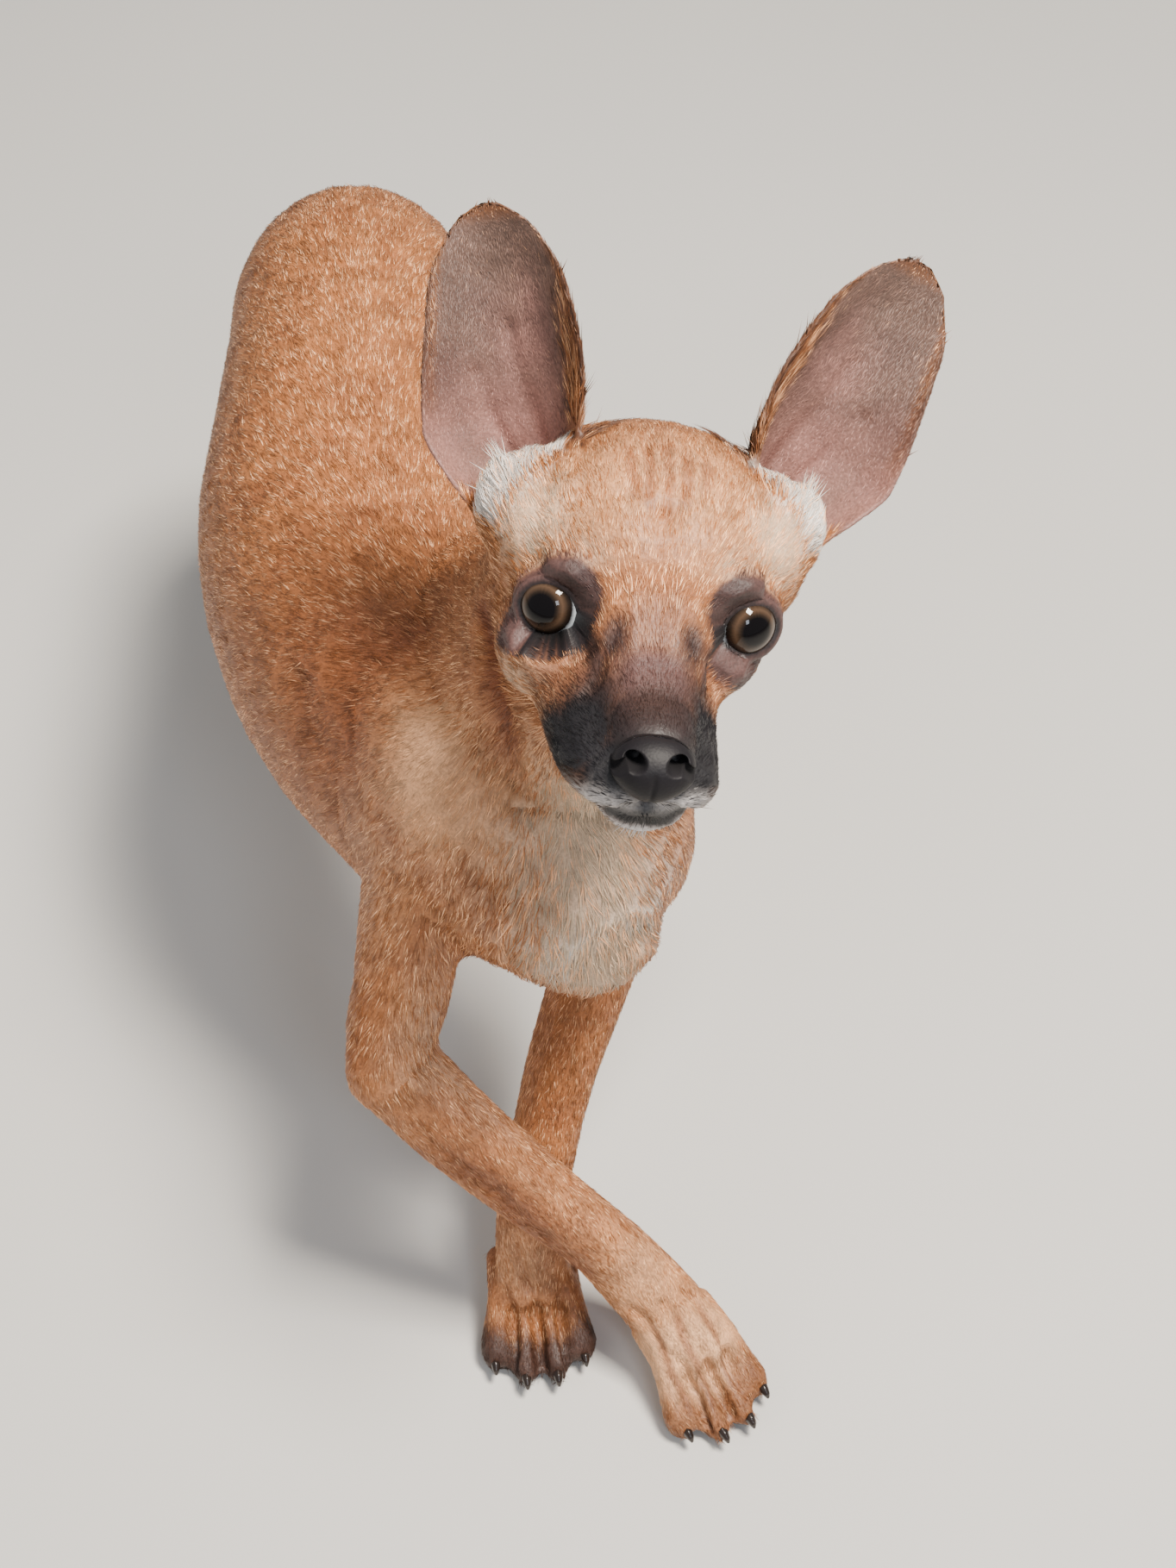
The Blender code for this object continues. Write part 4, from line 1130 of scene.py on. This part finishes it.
def tuft_mesh(name, rings, tips, up, values, uvs, material):
    """Joins tufts, given as rings of three points and a tip, into one mesh."""
    count, steps = len(tips), len(rings)
    size = steps * 3 + 1
    points = np.concatenate([*rings, tips[:, None]], axis=1)
    points[:, :, 2] = np.maximum(points[:, :, 2], FLOOR_CLEARANCE)
    faces = [(0, 2, 1)]
    for step in range(steps - 1):
        for corner in range(3):
            here, on = step * 3 + corner, step * 3 + (corner + 1) % 3
            faces += [(here, on, on + 3), (here, on + 3, here + 3)]
    last = (steps - 1) * 3
    faces += [(last + corner, last + (corner + 1) % 3, size - 1) for corner in range(3)]
    faces = np.array(faces)
    corners = (np.arange(count)[:, None, None] * size + faces).reshape(-1)
    mesh = bpy.data.meshes.new(name)
    mesh.vertices.add(count * size)
    mesh.vertices.foreach_set("co", points.ravel())
    mesh.loops.add(len(corners))
    mesh.loops.foreach_set("vertex_index", corners.astype(np.int32))
    mesh.polygons.add(len(corners) // 3)
    mesh.polygons.foreach_set("loop_start", np.arange(0, len(corners), 3, dtype=np.int32))
    mesh.update(calc_edges=True)
    along = np.tile(np.append(np.repeat(np.arange(steps) / steps, 3), 1.0), count)
    write_values(mesh, "along", along)
    for label, column in values.items():
        write_values(mesh, label, np.repeat(column, size))
    half = PATCH / 2
    patch = [
        (place, -half + 2 * half * step / steps) for step in range(steps) for place in (-half, half, 0)
    ]
    patch = np.array([*patch, (0, half)])
    flat = (uvs[:, None] + patch).reshape(-1, 2)[corners]
    layer = mesh.uv_layers.new(name="OFBake")
    layer.data.foreach_set("uv", flat.ravel())
    mesh.shade_smooth()
    facing = unit(normals_of(mesh) * (1 - NORMAL_BLEND) + np.repeat(up, size, axis=0) * NORMAL_BLEND)
    mesh.normals_split_custom_set_from_vertices(facing.tolist())
    return add_object(name, mesh, material)


def clumps(roots, size, chance):
    """Three random values that neighbouring roots share, since short hair lies in small locks."""
    cells = np.floor((roots + chance.normal(0, 0.22 * size, roots.shape)) / size)
    keys = cells @ ((12.9898, 78.233, 37.719), (39.346, 11.135, 83.155), (73.156, 52.235, 9.151))
    return np.modf(np.abs(np.sin(keys) * 43758.5453))[0].T


def grow_coat(name, parts, side, density, bent, seed, skin, guide, surface, sizes, material):
    """One piece of the coat, laid along the hair's lie over its part of the skin."""
    mesh = skin.data
    chance = np.random.default_rng(seed)
    points, normals = points_of(mesh), normals_of(mesh)
    triangles = triangles_of(mesh)
    owner = read_values(mesh, "owner").astype(int)[triangles[:, 0]]
    chosen = np.isin(owner, [FLESH.index(part) for part in parts])
    if side:
        in_head = in_frame(head_frame(), points[triangles[:, 0]])[:, 0] > 0
        left = np.where(owner == FLESH.index("head"), in_head, points[triangles[:, 0], 0] > TRUNK_MIDDLE)
        chosen &= (left == (side > 0)) | np.isin(owner, LIMB_NUMBERS)
    limit = PIECE_LIMIT // TUFT_TRIANGLES[bent]
    found, shares = scattered(mesh, chosen, "wisp" if bent else "cover", density, limit, chance)
    count = len(found)

    def at_roots(values):
        return np.einsum("ij,ij...->i...", shares, values[found])

    roots, up = at_roots(points), unit(at_roots(normals))
    lie = tangent(at_roots(read_values(mesh, "lie")), up)
    clump = clumps(roots, sizes.clump, chance)
    turn = chance.normal(0, sizes.stray, count) + sizes.tousle * (clump[0] - 0.5)
    turn += 0.2 * np.sin(roots @ (310, 230, 270)) * np.sin(roots @ (-190, 410, 150))
    lie = lie * np.cos(turn)[:, None] + np.cross(up, lie) * np.sin(turn)[:, None]
    length = at_roots(read_values(mesh, "length")) * MM * chance.uniform(0.7, 1.25, count)
    length = length * (WISP_STRETCH if bent else 1)
    lift = sizes.lift * np.clip(length / (8 * MM), 0.25, 1.4) * (0.4 + clump[1])
    coarse = "chest" in parts or "loin" in parts
    width = (sizes.body_tuft if coarse else sizes.face_tuft) * chance.uniform(0.7, 1.2, count)
    width = width * (WISP_THIN if bent else 1)
    stations = (0.5, 1.0) if bent else (1.0,)
    placed = []
    for share in stations:
        guess = roots + lie * (length * share)[:, None]
        hits = [surface.find_nearest(point) for point in guess]
        spot = np.array([hit[0] for hit in hits])
        over = np.array([hit[1] for hit in hits])
        near = np.linalg.norm(spot - guess, axis=1) < 0.45 * length
        spot = np.where(near[:, None], spot, guess)
        over = np.where(near[:, None], over, up)
        placed.append(spot + over * (lift * share**0.8)[:, None])
    rings = []
    starts = [roots - up * 0.3 * MM, *placed[:-1]]
    for centre, size in zip(starts, (1.0, 0.85)):
        across = unit(np.cross(up, lie)) * (width * size / 2)[:, None]
        high = up * (width * size * 0.55)[:, None]
        rings.append(np.stack([centre - across, centre + across, centre + high], axis=1))
    values = {label: at_roots(read_values(mesh, label)) for label in MARKING_NAMES}
    values["strand"] = (chance.random(count) + clump[2] * CLUMP_SHARE) / (1 + CLUMP_SHARE)
    return tuft_mesh(name, rings, placed[-1], up, values, unwrap_places(guide, roots), material)


# Pieces and their operators


class CHIHUAHUA_OT_skin(bpy.types.Operator):
    """Fuses the fleshy solids into one sculpted skin"""

    bl_idname = "chihuahua.skin"
    bl_label = "Skin"

    def execute(self, context):
        skin = shaped_skin()
        mark_skin(skin)
        skin.data.materials.append(skin_material(context.scene.coat_colours))
        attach(skin, "root")
        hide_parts(*FLESH)
        return {"FINISHED"}


def eye_material(settings):
    """A dog's eye under its wet cornea: dark pupil, amber ring and brown rim."""
    material, tree, output = new_material("wet_cornea_and_iris")
    ring = reading(tree, "ring")
    spokes = add_node(
        tree,
        "ShaderNodeTexNoise",
        {"W": reading(tree, "clock"), "Scale": 9.0, "Detail": 3.0},
        noise_dimensions="1D",
    )
    wobble = add_node(
        tree, "ShaderNodeMath", {0: spokes.outputs["Fac"], 1: 0.03, 2: ring}, operation="MULTIPLY_ADD"
    )
    iris = add_node(tree, "ShaderNodeValToRGB", {"Fac": wobble.outputs[0]})
    stops = iris.color_ramp.elements
    pupil, rim = settings.pupil / MM / 10 + 0.015, settings.iris / MM / 10 + 0.015
    stops[0].position, stops[0].color = pupil, linear("070506")
    stops[1].position, stops[1].color = rim + 0.06, linear("9ba1a6")
    for place, colour in (
        (pupil + 0.06, tuple(settings.brown)),
        (pupil + (rim - pupil) * 0.5, tuple(settings.amber)),
        (pupil + (rim - pupil) * 0.8, tuple(settings.brown)),
        (rim, linear("0e0908")),
    ):
        stop = stops.new(place)
        stop.color = colour
    shader = add_node(
        tree,
        "ShaderNodeBsdfPrincipled",
        {"Base Color": iris.outputs[0], "Roughness": 0.05, "IOR": 1.376, "Specular IOR Level": 0.45},
    )
    tree.links.new(shader.outputs[0], output.inputs[0])
    return material


def eyeball(name, side, material):
    """A finely divided eyeball with the bulge of its cornea."""
    matrix = eye_frame(side)
    bm = bmesh.new()
    bmesh.ops.create_uvsphere(bm, u_segments=96, v_segments=64, radius=1)
    mesh = bpy.data.meshes.new(name)
    bm.to_mesh(mesh)
    bm.free()
    points = unit(points_of(mesh))
    gaze = unit(np.array((*GAZE[side], 1.0)))
    angle = np.arccos(np.clip(points @ gaze, -1, 1))
    bulge = 0.55 * (1 - smoothstep(0.25, 0.85, angle))
    write_values(mesh, "ring", np.sin(np.minimum(angle, math.pi / 2)) * EYE_RADIUS / 10)
    write_values(mesh, "clock", np.abs(np.arctan2(points[:, 1] - gaze[1], points[:, 0] - gaze[0])))
    move_points(mesh, points * (EYE_RADIUS + bulge)[:, None] * MM)
    mesh.transform(matrix)
    mesh.shade_smooth()
    return add_object(name, mesh, material)


class CHIHUAHUA_OT_eyes(bpy.types.Operator):
    """Makes the two eyeballs in place of the plain ones"""

    bl_idname = "chihuahua.eyes"
    bl_label = "Eyes"

    def execute(self, context):
        material = eye_material(context.scene.eye_settings)
        for side, node in ((1, "eye_left"), (-1, "eye_right")):
            eye = eyeball(f"eyeball_{node[4:]}", side, material)
            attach(eye, "root")
            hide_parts(node)
        return {"FINISHED"}


def worn(points):
    """A claw's points, drawn back towards its root to the length that shows past the hair."""
    middle = points.mean(axis=0)
    axis = np.linalg.svd(points - middle, full_matrices=False)[2][0]
    axis = axis if axis[2] < 0 else -axis
    along = (points - middle) @ axis
    share = (along - along.min()) / np.ptp(along)
    return points - axis * (share * np.ptp(along) * CLAW_WEAR)[:, None]


def refined(name, nodes, voxel, rounds):
    """A smooth fine copy of some claws, worn to their visible length."""
    bm = bmesh.new()
    for node in nodes:
        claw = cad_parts[node].data.copy()
        move_points(claw, worn(points_of(claw)))
        bm.from_mesh(claw)
        bpy.data.meshes.remove(claw)
    bmesh.ops.remove_doubles(bm, verts=bm.verts, dist=1e-5)
    mesh = bpy.data.meshes.new(name)
    bm.to_mesh(mesh)
    bm.free()
    copy = add_object(name, mesh)
    remesh = copy.modifiers.new("Refine", "REMESH")
    remesh.mode = "VOXEL"
    remesh.voxel_size = voxel * MM
    apply_modifiers(copy)
    points, edges = points_of(copy.data), edges_of(copy.data)
    move_points(copy.data, faired(points, edges, np.full(len(points), rounds)))
    copy.data.shade_smooth()
    return copy


def nose_leather(material):
    """The nose: rounded above, narrow below, with two round nostrils that run out into side slits."""
    bm = bmesh.new()
    bmesh.ops.create_icosphere(bm, subdivisions=6, radius=1)
    mesh = bpy.data.meshes.new("nose_leather")
    bm.to_mesh(mesh)
    bm.free()
    ball = unit(points_of(mesh))
    points = np.sign(ball) * np.abs(ball) ** 0.9 * NOSE_HALF
    across, front, high = points.T
    across *= 1 - 0.3 * smoothstep(0.1, 1.1, -high / NOSE_HALF[2])
    front += 0.9 * smoothstep(0, 1, high / NOSE_HALF[2]) * (front < 0)
    pit = np.zeros(len(points))
    for side in (1, -1):
        hole = np.hypot((across - side * NOSTRIL[0]) / 2.1, (high - NOSTRIL[1]) / 1.8)
        slit, _ = route_distance(
            np.stack([across * side, high], axis=1), ((NOSTRIL[0], NOSTRIL[1]), (6.4, 2.0), (8.4, 0.2))
        )
        pit = np.maximum(pit, (1 - smoothstep(0.35, 1.25, hole)) * (ball[:, 1] < 0))
        pit = np.maximum(pit, 0.5 * (1 - smoothstep(0.3, 1.4, slit)) * (ball[:, 1] < 0.2))
    front += pit * 6.0
    split = np.exp(-((across / 0.55) ** 2)) * smoothstep(2.0, -0.5, high) * (ball[:, 1] < 0)
    front += 0.4 * split
    # The pit value darkens the nostrils and the groove in the material: painted shade.
    write_values(mesh, "pit", np.maximum(pit, 0.3 * split))
    move_points(mesh, (np.stack([across, front, high], axis=1) + NOSE_CENTRE) * MM)
    mesh.transform(head_frame())
    mesh.shade_smooth()
    return add_object("nose_leather", mesh, material)


class CHIHUAHUA_OT_nose(bpy.types.Operator):
    """Makes the pebbled leather of the nose"""

    bl_idname = "chihuahua.nose"
    bl_label = "Nose"

    def execute(self, context):
        # The nose's bare skin: near black and matt, pebbled finely, darker down in the nostrils and the
        # groove between them as painted shade
        material, tree, output = new_material("nose_leather")
        place = add_node(tree, "ShaderNodeTexCoord").outputs["Object"]
        cells = add_node(
            tree, "ShaderNodeTexVoronoi", {"Vector": place, "Scale": 1 / (0.55 * MM)}, feature="SMOOTH_F1"
        )
        tone = add_node(tree, "ShaderNodeTexNoise", {"Vector": place, "Scale": 1 / (4 * MM), "Detail": 3.0})
        colour = mixed(tree, tone.outputs["Fac"], linear("0a090b"), linear("181519"))
        colour = mixed(tree, reading(tree, "pit"), colour, linear("050405"))
        bump = add_node(
            tree,
            "ShaderNodeBump",
            {"Strength": 0.35, "Distance": 0.12 * MM, "Height": cells.outputs["Distance"]},
            invert=True,
        )
        matt = add_node(
            tree, "ShaderNodeMapRange", {"Value": reading(tree, "pit"), 1: 0.0, 2: 0.6, 3: 0.55, 4: 1.0}
        )
        shader = add_node(
            tree,
            "ShaderNodeBsdfPrincipled",
            {
                "Base Color": colour,
                "Roughness": matt.outputs[0],
                "Specular IOR Level": 0.25,
                "Normal": bump.outputs[0],
            },
        )
        tree.links.new(shader.outputs[0], output.inputs[0])
        nose = nose_leather(material)
        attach(nose, "root")
        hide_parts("nose")
        return {"FINISHED"}


class CHIHUAHUA_OT_claws(bpy.types.Operator):
    """Makes the claws of the four paws"""

    bl_idname = "chihuahua.claws"
    bl_label = "Claws"

    def execute(self, context):
        # Keratin horn: dark, smooth and a little glossy, with soft streaks
        material, tree, output = new_material("claw_horn")
        place = add_node(tree, "ShaderNodeTexCoord").outputs["Object"]
        streaks = add_node(
            tree, "ShaderNodeTexNoise", {"Vector": place, "Scale": 1 / (1.5 * MM), "Detail": 4.0}
        )
        colour = mixed(tree, streaks.outputs["Fac"], linear("0c0908"), linear("2a1f1a"))
        shader = add_node(
            tree, "ShaderNodeBsdfPrincipled", {"Base Color": colour, "Roughness": 0.3, "Coat Weight": 0.15}
        )
        tree.links.new(shader.outputs[0], output.inputs[0])
        for paw in PAWS:
            nodes = [f"claw_{paw}_{number}" for number in range(1, 5)]
            claws = refined(f"claws_{paw}", nodes, 0.3, 3)
            claws.data.materials.append(material)
            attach(claws, "root")
            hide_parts(*nodes)
        return {"FINISHED"}


class CHIHUAHUA_OT_coat(bpy.types.Operator):
    """Lays the coat over the skin, piece by piece"""

    bl_idname = "chihuahua.coat"
    bl_label = "Coat"

    def execute(self, context):
        skin = bpy.data.objects["skin"]
        guide = unwrapped_guide(skin)
        surface = BVHTree.FromPolygons(points_of(skin.data).tolist(), triangles_of(skin.data).tolist())
        material = tuft_material(context.scene.coat_colours)
        for row in COAT:
            piece = grow_coat(*row, skin, guide, surface, context.scene.coat_sizes, material)
            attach(piece, "root")
        return {"FINISHED"}


def add_light(name, place, aim, size, power, colour, reflected=True):
    lamp = bpy.data.lights.new(name, "AREA")
    lamp.shape = "RECTANGLE"
    lamp.size, lamp.size_y = size
    lamp.energy = power
    lamp.color = linear(colour)[:3]
    light = bpy.data.objects.new(name, lamp)
    light.location = place
    light.rotation_euler = (Vector(aim) - Vector(place)).to_track_quat("-Z", "Y").to_euler()
    light.visible_glossy = reflected
    bpy.context.scene.collection.objects.link(light)


CAMERA_PLACE = (-0.08001, -0.49354, 0.612)
CAMERA_LENS = 51.99
CAMERA_HEADING = math.radians(12)
CAMERA_PITCH = math.radians(47.5)


class CHIHUAHUA_OT_stage(bpy.types.Operator):
    """Sets the floor, the soft lights and the camera"""

    bl_idname = "chihuahua.stage"
    bl_label = "Stage"

    def execute(self, context):
        bm = bmesh.new()
        bmesh.ops.create_grid(bm, x_segments=1, y_segments=1, size=6)
        mesh = bpy.data.meshes.new("floor")
        bm.to_mesh(mesh)
        bm.free()
        # Matt paint: plain and pale, with a mottle too soft to draw the eye
        material, tree, output = new_material("matt_painted_floor")
        place = add_node(tree, "ShaderNodeTexCoord").outputs["Object"]
        mottle = add_node(tree, "ShaderNodeTexNoise", {"Vector": place, "Scale": 3.0, "Detail": 2.0})
        colour = mixed(tree, mottle.outputs["Fac"], linear("bfbdb9"), linear("c7c5c1"))
        shader = add_node(tree, "ShaderNodeBsdfPrincipled", {"Base Color": colour, "Roughness": 0.8})
        tree.links.new(shader.outputs[0], output.inputs[0])
        add_object("floor", mesh, material)

        world = bpy.data.worlds.new("studio")
        world.use_nodes = True
        world.node_tree.nodes["Background"].inputs[0].default_value = linear("e9edf2")
        world.node_tree.nodes["Background"].inputs[1].default_value = 0.42
        context.scene.world = world
        add_light("key", (0.42, -0.42, 1.6), (0, -0.02, 0.18), (0.4, 0.4), 70, "fff6ea")
        add_light("window", (0.15, -1.3, 1.3), (0, -0.1, 0.22), (0.3, 0.42), 7, "eaf2ff")
        add_light("fill", (-1.3, -0.5, 1.0), (0, 0, 0.15), (1.4, 1.4), 10, "fbf6ee", False)

        ahead = Vector((math.sin(CAMERA_HEADING), math.cos(CAMERA_HEADING), 0))
        view = ahead * math.cos(CAMERA_PITCH) - Vector((0, 0, math.sin(CAMERA_PITCH)))
        lens = bpy.data.cameras.new("camera")
        lens.lens = CAMERA_LENS
        lens.clip_start = 0.01
        lens.dof.use_dof = False
        camera = bpy.data.objects.new("camera", lens)
        camera.location = CAMERA_PLACE
        camera.rotation_euler = view.to_track_quat("-Z", "Y").to_euler()
        context.scene.collection.objects.link(camera)
        context.scene.camera = camera
        return {"FINISHED"}


OPERATORS = (
    CHIHUAHUA_OT_skin,
    CHIHUAHUA_OT_eyes,
    CHIHUAHUA_OT_nose,
    CHIHUAHUA_OT_claws,
    CHIHUAHUA_OT_coat,
    CHIHUAHUA_OT_stage,
)


class CHIHUAHUA_PT_panel(bpy.types.Panel):
    bl_label = "Chihuahua"
    bl_idname = "CHIHUAHUA_PT_panel"
    bl_space_type = "VIEW_3D"
    bl_region_type = "UI"
    bl_category = "Chihuahua"

    def draw(self, context):
        for group in SETTINGS:
            settings = getattr(context.scene, group)
            for name in settings.bl_rna.properties.keys():
                if name not in ("rna_type", "name"):
                    self.layout.prop(settings, name)
        for operator in OPERATORS:
            self.layout.operator(operator.bl_idname)


SETTINGS = {"coat_colours": CoatColours, "coat_sizes": CoatSizes, "eye_settings": EyeSettings}
CLASSES = (*SETTINGS.values(), *OPERATORS, CHIHUAHUA_PT_panel)


def register():
    for item in CLASSES:
        bpy.utils.register_class(item)
    for name, group in SETTINGS.items():
        setattr(bpy.types.Scene, name, bpy.props.PointerProperty(type=group))


def unregister():
    for name in SETTINGS:
        delattr(bpy.types.Scene, name)
    for item in reversed(CLASSES):
        bpy.utils.unregister_class(item)


def main():
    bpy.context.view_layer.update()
    register()
    bpy.ops.chihuahua.skin()
    bpy.ops.chihuahua.eyes()
    bpy.ops.chihuahua.nose()
    bpy.ops.chihuahua.claws()
    bpy.ops.chihuahua.coat()
    bpy.ops.chihuahua.stage()


if __name__ == "__main__":
    main()
